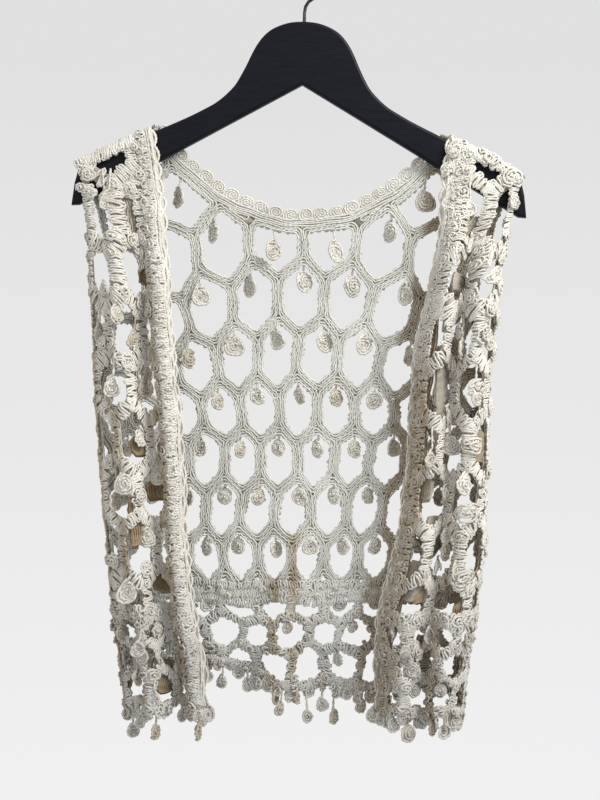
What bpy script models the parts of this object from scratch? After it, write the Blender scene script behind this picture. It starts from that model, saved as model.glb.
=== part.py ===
"""Open-work crochet vest hanging on a black wooden hanger.

Blender 4.5, metres, +Z up, the front towards -Y and +X to the viewer's right. The origin is where
the hanger's hook rests on its rail. Left and right are the viewer's. Sizes are in millimetres and
the mesh builders scale them by MM. A place on a cloth panel is (u, b): u runs across the cloth as
it would lie flat, and b is how far below the hook's resting point the cloth hangs.
"""

import math

import bmesh
import bpy
import numpy as np
from mathutils import Matrix, Vector
from mathutils.geometry import tessellate_polygon

MM = 0.001
GAP = 0.35  # from a piece's edge to the seam where it meets another

# Hanger
HANGER_THICK = 11.0
HANGER_ROUND = 3.0
HANGER_TILT = math.radians(1.65)  # it hangs a little lower on the right
HANGER_OUTLINE = (  # right half, untilted: out from the middle, below the hook's resting point
    (0, 62), (13, 63.2), (24.5, 66.9), (33, 71.5), (39.2, 77.2), (45, 85), (50, 94.3),
    (55, 105.5), (60.4, 116.3), (66, 126), (73.5, 134.5), (84, 143.5), (98, 151.8),
    (144, 174.2), (216, 210), (220, 226), (222.5, 247.5), (215, 247), (0, 123.7),
)
ARM_TOP = ((144, 174.2), (216, 210))  # the straight stretch that carries the shoulders
WIRE_RADIUS = 1.65
HOOK_INNER = 19.0

# Cloth
WALL = 3.0
SHOULDER_BEND = 8.2  # from the hanger's mid-plane to the middle of the cloth over its arm
CROWN = 3.2  # the bend's centre lies this far below the arm's top edge
SIDE_BEND = 12.7  # radius on which the back turns forward to the side seams
SEAM_DEPTH = 0.5  # y of the side seams
UNDERARM = 427.0
ARMHOLE_CUT = 14.0
BAND = 22.0  # width of the front edge bands
NECK_HALF = 6.5
BACK_END = 619.0  # where the net gives way to the lace border
FRONT_END = {"left": 635.0, "right": 641.0}
BACK_BORDER = 92.0  # depth of the lace border
FRONT_BORDER = 90.0
FRONT_LOWER = {"left": 0, "right": 6}  # how much lower the net's rows lie
BEND_ROWS = (4.0, 8.5, 13.5)  # extra edges where the cloth turns over the arm
SIDE_CREASES = (6.0, 13.0)  # and where the back turns forward to the side seams

FRONT_EDGES = {  # below the hook, x of the front edge, x of the side
    "left": (
        (160, -149, -222), (215, -140, -219), (260, -135, -212), (320, -130, -208),
        (380, -126, -205), (440, -120, -203), (510, -115, -198), (580, -112, -192),
        (640, -104, -186), (700, -95, -178), (770, -90, -172),
    ),
    "right": (
        (170, 138, 212), (225, 131, 206), (260, 129, 196), (320, 119, 186),
        (380, 105, 180), (440, 100, 176), (510, 95, 174), (580, 84, 171),
        (640, 68, 164), (700, 66, 154), (770, 64, 148),
    ),
}
FOLDS = {  # name, share of the way from front edge to side, depth y where the folds are full
    "left": (
        ("front edge", 0.00, -24), ("band ridge", 0.17, -34), ("valley by the band", 0.37, -13),
        ("middle ridge", 0.63, -41), ("side valley", 0.81, -27), ("side turn", 0.965, -20),
        ("side seam", 1.00, SEAM_DEPTH),
    ),
    "right": (
        ("turned-back edge", 0.00, -9), ("edge ridge", 0.29, -43), ("middle valley", 0.50, -24),
        ("outer ridge", 0.73, -45), ("side turn", 0.955, -23), ("side seam", 1.00, SEAM_DEPTH),
    ),
}
NECK_LINE = (  # x and b of the neck band's middle, from the left shoulder seam to the right one
    (-150, 150), (-147, 176), (-131, 200), (-104, 222.5), (-70, 246), (-35, 258), (-3, 262),
    (33, 258), (63, 248), (92, 231), (119, 208), (134, 187), (140, 158),
)

# Nets: a row of cells has its tops at apex, its side bars start slant lower, and the next row's
# tops are where those bars end. Edge drop is how much lower the row is 100 mm from its centre.
BACK_ROWS = (  # apex, slant, pitch, centre, edge drop
    (124, 25, 62, -3, 3), (178, 25, 60, -3, 6), (233, 25, 57, -3, 10), (289, 23.5, 51, -3, 14),
    (348, 20, 43.4, -5.3, 14), (405, 19.6, 38.9, -8.8, 8), (458, 16.2, 37.4, -7.3, 0),
    (506, 18.6, 35.3, -8.8, 0), (556, 17.6, 34.7, -13.7, 0), (598, 18, 32.9, -15.2, 0),
    (646, 18, 32.9, -15.2, 0),
)
FRONT_ROWS = (
    (144, 24, 46, 50, 0), (202, 22, 46, 50, 0), (273, 20, 46, 50, 0), (327, 20, 46, 50, 0),
    (381, 20, 46, 50, 0), (434, 19, 46, 50, 0), (486, 19, 46, 50, 0), (538, 18, 46, 50, 0),
    (591, 18, 46, 50, 0), (650, 18, 46, 50, 0),
)
BORDER_LEVELS = (-0.31, 0.0, 0.27, 0.58, 0.97, 1.3)  # tops of its rows, as shares of its depth
BORDER_SLANT = 9.0
BORDER_PITCH = 33.0
BORDER_CENTRE = {"back": -15.2, "left": 50.0, "right": 47.0}
BACK_BAR = 4.8  # half the width of a net's bars
FRONT_BAR = 5.6
BORDER_BAR = 4.4
SMALLEST_HOLE = 60.0  # mm2; a smaller gap is worked solid
SLIVER = 2.6  # a clipped cell thinner than this is left out
SNAP = 5.0  # net points this near a panel's edge lie on it

# Drops: crocheted discs that hang on a short chain, and the ones of the hem
DROP_HALF = 1.6  # of a drop's chain
DROP_STATIONS = ((6.5, DROP_HALF), (13.5, 8), (22.5, 4))  # down, half width
DROP_TURN = 1.15  # radians that the most turned drop shows its edge by
FRINGE_DROPS = {"back": 14, "left": 7, "right": 7}
STRIP = 3.0
STEM_HALF = 1.1


def smooth(t):
    """0 to 1 with level ends."""
    t = np.clip(t, 0.0, 1.0)
    return t * t * (3 - 2 * t)


def blend(a, b, t):
    return a + (b - a) * t


def spline(x, knots, values):
    """Smooth curve through values at rising knots, flat beyond its ends."""
    knots, values = np.asarray(knots, float), np.asarray(values, float)
    slope = np.gradient(values, knots)
    x = np.clip(x, knots[0], knots[-1])
    i = np.clip(np.searchsorted(knots, x) - 1, 0, len(knots) - 2)
    span = knots[i + 1] - knots[i]
    t = (x - knots[i]) / span
    rise = (1 + 2 * t) * (1 - t) ** 2 * values[i] + t * t * (3 - 2 * t) * values[i + 1]
    return rise + span * t * (1 - t) * ((1 - t) * slope[i] - t * slope[i + 1])


def tilted(x, below):
    """A hanger point, turned with the hanger about its hook."""
    c, s = math.cos(HANGER_TILT), math.sin(HANGER_TILT)
    return x * c - below * s, x * s + below * c


def arm_below(x):
    """How far below the hook the top edge of the hanger's arm lies at x."""
    (near, far) = ARM_TOP
    left = [tilted(-far[0], far[1]), tilted(-near[0], near[1])]
    right = [tilted(*near), tilted(*far)]
    low, high = (np.array(end) for end in zip(*(left, right)))
    slope = (high[:, 1] - low[:, 1]) / (high[:, 0] - low[:, 0])
    heights = [low[i, 1] + slope[i] * (x - low[i, 0]) for i in (0, 1)]
    return np.where(np.asarray(x) < 0, heights[0], heights[1])


def seam_below(x):
    """Where the shoulder seam lies in a panel's b, at the top of the bend over the arm."""
    return arm_below(x) + CROWN - SHOULDER_BEND * math.pi / 2


def over_arm(x, y, b):
    """Bends a hanging panel over the hanger's arm."""
    crown = arm_below(x) + CROWN
    turn = np.clip((crown - b) / SHOULDER_BEND, 0, math.pi / 2)
    z = SHOULDER_BEND * np.sin(turn) - np.maximum(b, crown)
    return np.stack([x + 0 * z, y * np.cos(turn), z], axis=-1)


def joined(b):
    """0 where the sides are open armholes, 1 where they are joined in side seams."""
    return smooth((b - 360) / (UNDERARM - 360))


class Front:
    """A front panel. u runs round its folds from the front edge to the side."""

    STEP = 4.0
    COLUMNS = 241

    def __init__(self, side):
        below, inner, outer = np.array(FRONT_EDGES[side], float).T
        share, depth = np.array([fold[1:] for fold in FOLDS[side]], float).T
        knots = np.linspace(0, 1, len(share))
        t = np.linspace(0, 1, 500)
        self.side, self.end = side, FRONT_END[side]
        self.rows = np.arange(below[0] - 40, below[-1] + 40, self.STEP)
        self.length, self.x, self.y = [], [], []
        for b in self.rows:
            y = blend(-SHOULDER_BEND, depth, smooth((b - 205) / 135))
            y[-1] = blend(-SHOULDER_BEND, SEAM_DEPTH, joined(b))
            edge, outside = spline(b, below, inner), spline(b, below, outer)
            x = edge + (outside - edge) * spline(t, knots, share)
            y = spline(t, knots, y)
            arc = np.concatenate([[0], np.cumsum(np.hypot(np.diff(x), np.diff(y)))])
            even = np.linspace(0, arc[-1], self.COLUMNS)
            self.length.append(arc[-1])
            self.x.append(np.interp(even, arc, x))
            self.y.append(np.interp(even, arc, y))
        self.length, self.x, self.y = (np.array(v) for v in (self.length, self.x, self.y))

    def width(self, b):
        """Flat width of the cloth at b."""
        return np.interp(b, self.rows, self.length)

    def point(self, u, b):
        u, b = np.broadcast_arrays(np.asarray(u, float), np.asarray(b, float))
        row = np.clip((b - self.rows[0]) / self.STEP, 0, len(self.rows) - 1.001)
        first = row.astype(int)
        found = []
        for i in (first, first + 1):
            column = u / self.length[i] * (self.COLUMNS - 1)
            j = np.clip(column.astype(int), 0, self.COLUMNS - 2)
            found.append([blend(v[i, j], v[i, j + 1], column - j) for v in (self.x, self.y)])
        x, y = (blend(found[0][i], found[1][i], row - first) for i in (0, 1))
        return over_arm(x, y, b)

    def fields(self):
        """Each is positive inside the net and 0 on one of its edges."""
        return (
            lambda u, b: float(b - seam_below(self.point(u, b)[0])) - GAP,
            lambda u, b: u - BAND - 2 * GAP,
            lambda u, b: float(self.width(b)) - u - GAP,
            lambda u, b: self.end - b,
        )


def side_x(side, b):
    below, _, outer = np.array(FRONT_EDGES[side], float).T
    return spline(b, below, outer)


def back_edge(b, left):
    """How far out the back's edge is seen, on the left or right of x = 0."""
    cut = ARMHOLE_CUT * np.sin(math.pi * np.clip((b - 205) / (UNDERARM - 205), 0, 1))
    return np.where(left, -side_x("left", b), side_x("right", b)) - cut


def back_width(b, left):
    """Flat distance from x = 0 to the back's edge."""
    turn = np.maximum(joined(b), 1e-6)
    arc = SIDE_BEND * math.pi / 2
    return back_edge(b, left) + arc - SIDE_BEND / turn * np.sin(turn * math.pi / 2)


def back_relief(x, b):
    """y of the back before it turns forward: a fold that deepens downward, and slack ripples."""
    hang = SHOULDER_BEND + 5 * smooth((b - 255) / 80)
    fold_at = -5 - 17 * smooth((b - 430) / 270)
    fold = 15 * smooth((b - 400) / 300) * np.exp(-(((x - fold_at) / 17) ** 2))
    ripple = 2.2 * smooth((b - 300) / 150) * np.sin(x / 24 + b / 95)
    flutter = 3.5 * smooth((b - 600) / 100) * np.sin(x / 13 - b / 60)
    calm = 1 - smooth((np.abs(x + 10) - 110) / 45)
    return hang - fold + (ripple + flutter) * calm


def back_point(u, b):
    u, b = np.broadcast_arrays(np.asarray(u, float), np.asarray(b, float))
    left = u < 0
    turn = np.maximum(joined(b), 1e-6)
    arc = SIDE_BEND * math.pi / 2
    past = np.maximum(np.abs(u) - (back_width(b, left) - arc), 0)
    radius = SIDE_BEND / turn
    out = np.abs(u) - past + radius * np.sin(past / radius)
    y = back_relief(np.where(left, -out, out), b) - radius * (1 - np.cos(past / radius))
    return over_arm(np.where(left, -out, out), y, b)


def neck_path(count=160):
    """Evenly spaced points (u, b) along the middle of the neck band."""
    line = np.array(NECK_LINE, float)
    arc = np.concatenate([[0], np.cumsum(np.hypot(*np.diff(line, axis=0).T))])
    even = np.linspace(0, arc[-1], count)
    return np.stack([spline(even, arc, line[:, 0]), spline(even, arc, line[:, 1])], axis=-1)


NECK = neck_path()
ACROSS_NECK = np.stack([-np.gradient(NECK[:, 1]), np.gradient(NECK[:, 0])], axis=-1)
ACROSS_NECK /= np.linalg.norm(ACROSS_NECK, axis=1)[:, None]  # towards the net


def below_neck(u, b):
    """Distance from the middle of the neck band, positive on the net's side."""
    offset = np.array([u, b]) - NECK
    nearest = int(np.argmin((offset**2).sum(axis=1)))
    return float(offset[nearest] @ ACROSS_NECK[nearest])


BACK_FIELDS = (
    lambda u, b: float(b - seam_below(u)) - GAP,
    lambda u, b: below_neck(u, b) - NECK_HALF - 2 * GAP,
    lambda u, b: float(back_width(b, True)) + u - GAP,
    lambda u, b: float(back_width(b, False)) - u - GAP,
    lambda u, b: BACK_END - b,
)


def hem_below(side, u):
    """Where the lace border ends and the strip of hanging drops begins."""
    if side == "back":
        return 688 + 26 * smooth((np.asarray(u, float) + 95) / 85)
    return np.full_like(np.asarray(u, float), FRONT_END[side] + FRONT_BORDER)


def border_fields(panel_fields, side, top):
    """The edges of a lace border: its panel's sides, the net above and the hem below."""
    sides = panel_fields[2:4] if side == "back" else panel_fields[1:3]
    return (
        *sides,
        lambda u, b: b - top - 2 * GAP,
        lambda u, b: float(hem_below(side, u)) - b,
    )


def border_rows(side, top, depth):
    centre = BORDER_CENTRE[side]
    return [(top + share * depth, BORDER_SLANT, BORDER_PITCH, centre, 0) for share in BORDER_LEVELS]


def net_point(rows, kind, k, j):
    """The top of a cell, or the corner where its side bar starts, in half pitches j."""
    apex, slant, pitch, centre, drop = rows[k]
    if kind == "corner" and k + 1 < len(rows):
        pitch = (pitch + rows[k + 1][2]) / 2
        centre = (centre + rows[k + 1][3]) / 2
    u = centre + j * pitch / 2
    b = apex + (slant if kind == "corner" else 0)
    return u, b + drop * ((u - centre) / 100) ** 2


def net_cells(rows, parity=0, reach=14):
    """Six-sided cells from the top clockwise, each with the u of its drop and its row and place."""
    for k in range(len(rows) - 1):
        for j in range(-reach, reach + 1):
            if (j + k + parity) % 2:
                continue
            corners = (
                ("top", k, j), ("corner", k, j + 1), ("top", k + 1, j + 1),
                ("corner", k + 1, j), ("top", k + 1, j - 1), ("corner", k, j - 1),
            )
            yield k, j, [net_point(rows, *corner) for corner in corners]


def onto_line(point, field):
    """The nearest point where field is 0, reached in a few steps down its slope."""
    u, b = point
    for _ in range(4):
        value = field(u, b)
        du = field(u + 0.05, b) - value
        db = field(u, b + 0.05) - value
        steep = (du * du + db * db) / 0.05
        if steep < 1e-9:
            break
        u, b = u - value * du / steep, b - value * db / steep
    return u, b


def crossing(inside, outside, field):
    """Where the way from inside to outside meets the field's zero line."""
    near, far = np.array(inside), np.array(outside)
    for _ in range(24):
        middle = (near + far) / 2
        if field(*middle) >= 0:
            near = middle
        else:
            far = middle
    return tuple(near)


def clip(shape, field, spacing=13.0):
    """The part of a closed outline where field is positive; its cut edge follows the zero line."""
    inside = [field(*p) >= -1e-3 for p in shape]
    if all(inside):
        return shape
    if not any(inside):
        return []
    kept, left_at = [], None
    for i, point in enumerate(shape):
        after = (i + 1) % len(shape)
        if inside[i]:
            kept.append(point)
        if inside[i] and not inside[after]:
            kept.append(crossing(point, shape[after], field))
            left_at = len(kept)
        elif inside[after] and not inside[i]:
            kept.append(crossing(shape[after], point, field))
    leave, enter = np.array(kept[left_at - 1]), np.array(kept[left_at % len(kept)])
    count = int(np.linalg.norm(enter - leave) // spacing)
    between = [tuple(blend(leave, enter, (i + 1) / (count + 1))) for i in range(count)]
    kept[left_at:left_at] = [onto_line(p, field) for p in between]
    return kept


def follow(shape, field, spacing=18.0):
    """Adds points to the outline's long edges that run along the field's zero line."""
    kept = []
    for i, point in enumerate(shape):
        after = shape[(i + 1) % len(shape)]
        kept.append(point)
        length = math.dist(point, after)
        middle = (blend(point[0], after[0], 0.5), blend(point[1], after[1], 0.5))
        on_line = max(abs(field(*point)), abs(field(*after))) < 0.05
        if on_line and length > spacing and abs(field(*middle)) < length / 8:
            count = int(length // spacing)
            for n in range(count):
                share = (n + 1) / (count + 1)
                between = (blend(point[0], after[0], share), blend(point[1], after[1], share))
                kept.append(onto_line(between, field))
    return kept


def tidy_outline(shape, least=1.5):
    """The outline without points that nearly coincide."""
    kept = []
    for point in shape:
        if not kept or math.dist(point, kept[-1]) > least:
            kept.append(point)
    while len(kept) > 1 and math.dist(kept[0], kept[-1]) <= least:
        kept.pop()
    return kept


def area(shape):
    pairs = zip(shape, shape[1:] + shape[:1])
    return sum(p[0] * q[1] - q[0] * p[1] for p, q in pairs) / 2


def thickness(shape):
    """Mean width of a long shape."""
    around = sum(math.dist(shape[i - 1], shape[i]) for i in range(len(shape)))
    return 2 * abs(area(shape)) / around


def panel_cells(rows, fields, parity=0):
    """The net's cells, fitted to the panel's edges."""

    def fitted(point):
        for field in fields:
            if abs(field(*point)) < SNAP:
                point = onto_line(point, field)
        return point

    for k, j, cell in net_cells(rows, parity):
        middle = cell[0][0]
        shape = [fitted(point) for point in cell]
        for field in fields:
            if shape:
                shape = tidy_outline(clip(shape, field))
        if len(shape) < 3 or thickness(shape) < SLIVER:
            continue
        for field in fields:
            shape = follow(shape, field)
        yield k, j, middle, shape


def inset(shape, distance):
    """The outline moved inward, or None where it would close up."""
    turn = 1 if area(shape) > 0 else -1
    count = len(shape)
    ways = []
    for i in range(count):
        step = np.subtract(shape[(i + 1) % count], shape[i])
        ways.append(step / np.linalg.norm(step))
    moved = []
    for i in range(count):
        before, after = ways[i - 1], ways[i]
        normals = [turn * np.array([-way[1], way[0]]) for way in (before, after)]
        share = 1 + normals[0] @ normals[1]
        if share < 0.35:
            return None
        moved.append(tuple(np.array(shape[i]) + distance * (normals[0] + normals[1]) / share))
    for i in range(count):
        if np.subtract(moved[(i + 1) % count], moved[i]) @ ways[i] <= 0.5:
            return None
    return moved if abs(area(moved)) > SMALLEST_HOLE and area(moved) * turn > 0 else None


def without_short_edges(shape, least):
    """Merges corners that lie close, so that the outline can be moved inward."""
    shape = list(shape)
    while len(shape) > 4:
        gaps = [math.dist(shape[i - 1], shape[i]) for i in range(len(shape))]
        i = int(np.argmin(gaps))
        if gaps[i] >= least:
            break
        shape[i - 1] = tuple(np.mean([shape[i - 1], shape[i]], axis=0))
        del shape[i]
    return shape


def cell_hole(shape, bar):
    """The gap in a cell, tried on ever simpler outlines."""
    for least in (6, 12, 18):
        hole = inset(without_short_edges(shape, least), bar)
        if hole:
            return hole
    if thickness(shape) < 3 * bar:
        return None
    middle = np.mean(shape, axis=0)
    return [tuple(blend(middle, np.array(point), 1 - 1.25 * bar / thickness(shape))) for point in shape]


def hang_place(hole, middle):
    """Splits the hole's upper edge beside middle; returns the outline and the first point's index."""
    best = None
    for i in range(len(hole)):
        (u0, b0), (u1, b1) = hole[i], hole[(i + 1) % len(hole)]
        if u1 <= u0 or not u0 - 1e-6 <= middle <= u1 + 1e-6:
            continue
        b = blend(b0, b1, (middle - u0) / (u1 - u0))
        if best is None or b < best[1]:
            best = (i, b)
    if best is None:
        return hole, None
    start = DROP_HALF
    points, done = [], None
    for i in range(len(hole)):
        here, after = hole[i], hole[(i + 1) % len(hole)]
        if math.dist(here, (middle, best[1])) > start:
            points.append(here)
        if i == best[0]:
            done = len(points)
            for way in (-1, 1):
                at = middle + way * start
                edge = (here, after)
                if at < here[0]:
                    edge = (hole[i - 1], here)
                elif at > after[0]:
                    edge = (after, hole[(i + 2) % len(hole)])
                share = (at - edge[0][0]) / (edge[1][0] - edge[0][0] or 1)
                points.append((at, blend(edge[0][1], edge[1][1], min(max(share, 0), 1))))
    return points, done


def flat_face(mesh, points):
    mesh.faces.new([mesh.verts.new((*point, 0)) for point in points])


def crease(mesh, start, end, offsets):
    """Adds edges to a flat mesh along the line start-end moved to each offset across it."""
    along = Vector(end) - Vector(start)
    across = Vector((-along.y, along.x, 0)).normalized()
    for offset in offsets:
        everything = mesh.verts[:] + mesh.edges[:] + mesh.faces[:]
        at = Vector((*start, 0)) + across * offset
        bmesh.ops.bisect_plane(mesh, geom=everything, dist=0.3, plane_co=at, plane_no=across)


def hung(place, u, b):
    """Middle of the cloth, the way across it and its outward normal at each (u, b)."""
    across = place(u + 0.4, b) - place(u - 0.4, b)
    down = place(u, b + 0.4) - place(u, b - 0.4)
    normal = np.cross(down, across)
    across, normal = (v / np.linalg.norm(v, axis=-1, keepdims=True) for v in (across, normal))
    return place(u, b), across, normal


def add_quads(mesh, near, far):
    """Joins two rings of as many vertices; returns nothing."""
    for i in range(len(near)):
        after = (i + 1) % len(near)
        mesh.faces.new([near[i], near[after], far[after], far[i]])


def add_drop(mesh, ring, turn, size):
    """Draws the chain and disc of a drop down out of a gap's upper edge, turned as it hangs."""
    points = [vert.co.copy() for vert in ring]
    root = sum(points, Vector()) / 4
    across = ((points[1] - points[0]) + (points[2] - points[3])).normalized()
    depth = ((points[0] - points[3]) + (points[1] - points[2])).normalized()
    for share, (down, half) in zip((0.5, 1, 1), DROP_STATIONS):
        spin = Matrix.Rotation(turn * share, 3, "Z")
        side, face = spin @ across * half * size, spin @ depth * WALL / 2
        centre = root / MM - Vector((0, 0, down * size))
        corners = (centre - side + face, centre + side + face)
        corners += (centre + side - face, centre - side - face)
        lower = [mesh.verts.new(corner * MM) for corner in corners]
        add_quads(mesh, ring, lower)
        ring = lower
    mesh.faces.new(ring)


def cloth_wall(flat, place, roots=()):
    """Hangs a flat mesh of (u, b) and gives it the cloth's thickness, and its drops.

    Each root is the two places that a drop hangs between, how far it turns and its size.
    """
    bmesh.ops.triangulate(flat, faces=[face for face in flat.faces if len(face.verts) > 4])
    flat.verts.index_update()
    at = np.array([vert.co[:2] for vert in flat.verts])
    middle, _, normal = hung(place, at[:, 0], at[:, 1])
    mesh = bmesh.new()
    outer, inner = (
        [mesh.verts.new(point * MM) for point in middle + normal * way * WALL / 2]
        for way in (1, -1)
    )
    hanging = {}
    for ends, turn, size in roots:
        key = frozenset(int(np.argmin(((at - end) ** 2).sum(axis=1))) for end in ends)
        hanging[key] = turn, size
    for face in flat.faces:
        index = [vert.index for vert in face.verts]
        mesh.faces.new([outer[i] for i in index])
        mesh.faces.new([inner[i] for i in reversed(index)])
    for edge in flat.edges:
        if len(edge.link_loops) != 1:
            continue
        loop = edge.link_loops[0]
        a, b = loop.vert.index, loop.link_loop_next.vert.index
        rim = [outer[b], outer[a], inner[a], inner[b]]
        if frozenset((a, b)) in hanging:
            add_drop(mesh, rim, *hanging[frozenset((a, b))])
        else:
            mesh.faces.new(rim)
    bmesh.ops.recalc_face_normals(mesh, faces=mesh.faces)
    flat.free()
    return mesh


def add_cell(flat, shape, middle, bar, with_drop):
    """The cloth round one cell's gap. Returns the two places its drop hangs between, if any."""
    hole, root = cell_hole(shape, bar), None
    if hole and with_drop:
        hole, root = hang_place(hole, middle)
    rings = [shape] + ([hole] if hole else [])
    points = [Vector((*point, 0)) for ring in rings for point in ring]
    for triangle in tessellate_polygon([[Vector((*p, 0)) for p in ring] for ring in rings]):
        a, b, c = (points[i] for i in triangle)
        if (b - a).cross(c - a).z > 0:
            a, c = c, a
        flat_face(flat, [corner[:2] for corner in (a, b, c)])
    return None if root is None else (hole[root], hole[(root + 1) % len(hole)])


def new_object(name, mesh, look):
    material, collection = look
    data = bpy.data.meshes.new(name)
    mesh.to_mesh(data)
    mesh.free()
    obj = bpy.data.objects.new(name, data)
    obj.data.materials.append(material)
    collection.objects.link(obj)
    return obj


class Panel:
    """Where a panel hangs, its shoulder seams and the lines that its tight bends follow."""

    def __init__(self, place, shoulders, creases):
        self.place = place
        self.shoulders = shoulders
        self.creases = creases

    def wall(self, flat, roots=()):
        bmesh.ops.remove_doubles(flat, verts=flat.verts, dist=0.05)
        for start, end in self.shoulders:
            crease(flat, start, end, BEND_ROWS)
        for start, end, offsets in self.creases:
            crease(flat, start, end, offsets)
        return cloth_wall(flat, self.place, roots)

    def below_seam(self, points):
        """The least distance of the points below the shoulder seam."""
        return min(b - float(seam_below(self.place(u, b)[0])) for u, b in points)


def shoulder_line(place, near, far):
    """The shoulder seam from u = near to u = far, as two places on a panel."""
    return [(u, float(seam_below(place(u, 170)[0]))) for u in (near, far)]


def drop_turn(panel, u, b, k, j):
    """How far a cell's drop is turned: unevenly, but flat where it lies against the hanger."""
    x = float(panel.place(u, b)[0])
    if b - float(arm_below(x)) < 50:
        return 0.0
    return DROP_TURN * math.sin(2.3 * k + 4.1 * j)


def build_net(name, panel, rows, fields, bar, look, parity=0, drops=True):
    flat = bmesh.new()
    roots = []
    for k, j, middle, shape in panel_cells(rows, fields, parity):
        with_drop = drops and abs(area(shape)) > 600 and panel.below_seam(shape) > 8
        root = add_cell(flat, shape, middle, bar, with_drop)
        if root:
            turn = drop_turn(panel, *root[0], k, j)
            roots.append((root, turn, min(1.0, rows[k][2] / 42)))
    return new_object(name, panel.wall(flat, roots), look)


def build_ribbon(name, panel, lower, upper, look):
    """A band between two edges given as matching lists of (u, b)."""
    flat = bmesh.new()
    for i in range(len(lower) - 1):
        flat_face(flat, [lower[i], lower[i + 1], upper[i + 1], upper[i]])
    return new_object(name, panel.wall(flat), look)


def build_neck_band(panel, look):
    """The band across the back's neck, with a row of rosettes standing on its upper edge."""
    pitch, rise, shares = 17.0, 7.0, (0.12, 0.32, 0.68, 0.88)
    arc = np.concatenate([[0], np.cumsum(np.hypot(*np.diff(NECK, axis=0).T))])
    inside = [p[1] > seam_below(p[0]) + 2 for p in NECK]
    start, end = arc[inside.index(True)], arc[len(inside) - 1 - inside[::-1].index(True)]
    count = int((end - start) / pitch)
    stations = [(start, 0)]
    for i in range(count):
        for share in shares:
            height = rise if 0.2 < share < 0.8 else 0
            stations.append((start + (end - start) * (i + share) / count, height))
    stations.append((end, 0))
    lower, upper = [], []
    for at, height in stations:
        middle = np.array([np.interp(at, arc, NECK[:, i]) for i in (0, 1)])
        way = np.array([np.interp(at, arc, ACROSS_NECK[:, i]) for i in (0, 1)])
        lower.append(middle + way * NECK_HALF)
        upper.append(middle - way * (NECK_HALF + height))
    for edge in (lower, upper):
        for end in (0, -1):
            edge[end][1] = float(seam_below(edge[end][0])) + GAP
    return build_ribbon("neck_band", panel, lower, upper, look)


def build_front_band(front, panel, look):
    """The solid band down a front edge, scalloped where its cord is looped."""
    pitch, scallop = 20.0, 2.8
    bottom = float(hem_below(front.side, 0))
    (_, near), (width, far) = panel.shoulders[0]
    count = 2 * int((bottom - near) / pitch)
    inner, outer = [], []
    for i in range(count + 1):
        for edge, u in ((inner, 0.0 if i % 2 else scallop), (outer, BAND)):
            top = blend(near, far, u / width) + GAP
            edge.append((u, blend(top, bottom, i / count)))
    return build_ribbon("front_band_" + front.side, panel, inner, outer, look)


def build_fringe(side, place, first, last, look):
    """Hanging drops of the hem, rooted in a narrow strip below the lace border."""
    count = FRINGE_DROPS[side]
    half = WALL / 2
    stations = []
    for i in range(count):
        start, middle = (first + (last - first) * (i + share) / count for share in (0, 0.5))
        stations += [start, middle - half, middle + half]
    stations = np.array(stations + [last])
    top = hem_below(side, stations) + 2 * GAP
    mesh = bmesh.new()
    rings = [[] for _ in stations]
    for b, way in ((top, 1), (top, -1), (top + STRIP, -1), (top + STRIP, 1)):
        middle, _, normal = hung(place, stations, b)
        for ring, point in zip(rings, middle + normal * way * half):
            ring.append(mesh.verts.new(point * MM))
    roots = []
    for i in range(len(rings) - 1):
        here, after = rings[i], rings[i + 1]
        for a, b in ((0, 1), (1, 2), (2, 3), (3, 0)):
            face = mesh.faces.new([here[a], here[b], after[b], after[a]])
            if a == 2 and i % 3 == 1:
                roots.append(face)
    mesh.faces.new(rings[0][::-1])
    mesh.faces.new(rings[-1])
    bmesh.ops.recalc_face_normals(mesh, faces=mesh.faces)
    for i, face in enumerate(roots):
        extrude_drop(mesh, face, 26 + 7 * math.sin(2.7 * i + len(side)))
    return new_object("fringe_" + side, mesh, look)


def extrude_drop(mesh, face, length):
    """Draws a chain with a drop at its end straight down out of a face."""
    root = face.calc_center_median()
    ring = [loop.vert for loop in face.loops]
    ways = [(vert.co - root).to_2d().normalized().to_3d() for vert in ring]
    mesh.faces.remove(face)
    for down, half in ((length - 13, STEM_HALF), (length - 6, 4.6), (length, 1.3)):
        centre = root - Vector((0, 0, down * MM))
        lower = [mesh.verts.new(centre + way * half * math.sqrt(2) * MM) for way in ways]
        add_quads(mesh, ring, lower)
        ring = lower
    mesh.faces.new(ring)


def new_curve(name, dimensions, look):
    material, collection = look
    curve = bpy.data.curves.new(name, "CURVE")
    curve.dimensions = dimensions
    curve.materials.append(material)
    obj = bpy.data.objects.new(name, curve)
    collection.objects.link(obj)
    return obj, curve


def build_hanger_arms(look):
    """One flat piece of wood with rounded edges, cut to the hanger's outline."""
    right = [tilted(x, below) for x, below in HANGER_OUTLINE]
    left = [tilted(-x, below) for x, below in HANGER_OUTLINE[1:-1]]
    outline = right + left[::-1]
    obj, curve = new_curve("hanger_arms", "2D", look)
    curve.fill_mode = "BOTH"
    curve.extrude = (HANGER_THICK / 2 - HANGER_ROUND) * MM
    curve.bevel_depth = HANGER_ROUND * MM
    curve.bevel_resolution = 1
    curve.offset = -HANGER_ROUND * MM
    line = curve.splines.new("POLY")
    line.points.add(len(outline) - 1)
    for point, (x, below) in zip(line.points, outline):
        point.co = (x * MM, -below * MM, 0, 1)
    line.use_cyclic_u = True
    obj.rotation_euler = (math.pi / 2, 0, 0)


def hook_route():
    """Stem up from the wood, a bend to the right, and round over the rail to the open end."""
    radius = HOOK_INNER + WIRE_RADIUS
    stem = [(0, -61.8), (0, -52), (0.8, -46.5), (3.6, -41.8), (7.6, -38.6)]
    turns = np.linspace(math.radians(-58), math.radians(205), 19)
    return stem + [(radius * math.cos(a), -HOOK_INNER + radius * math.sin(a)) for a in turns]


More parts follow.
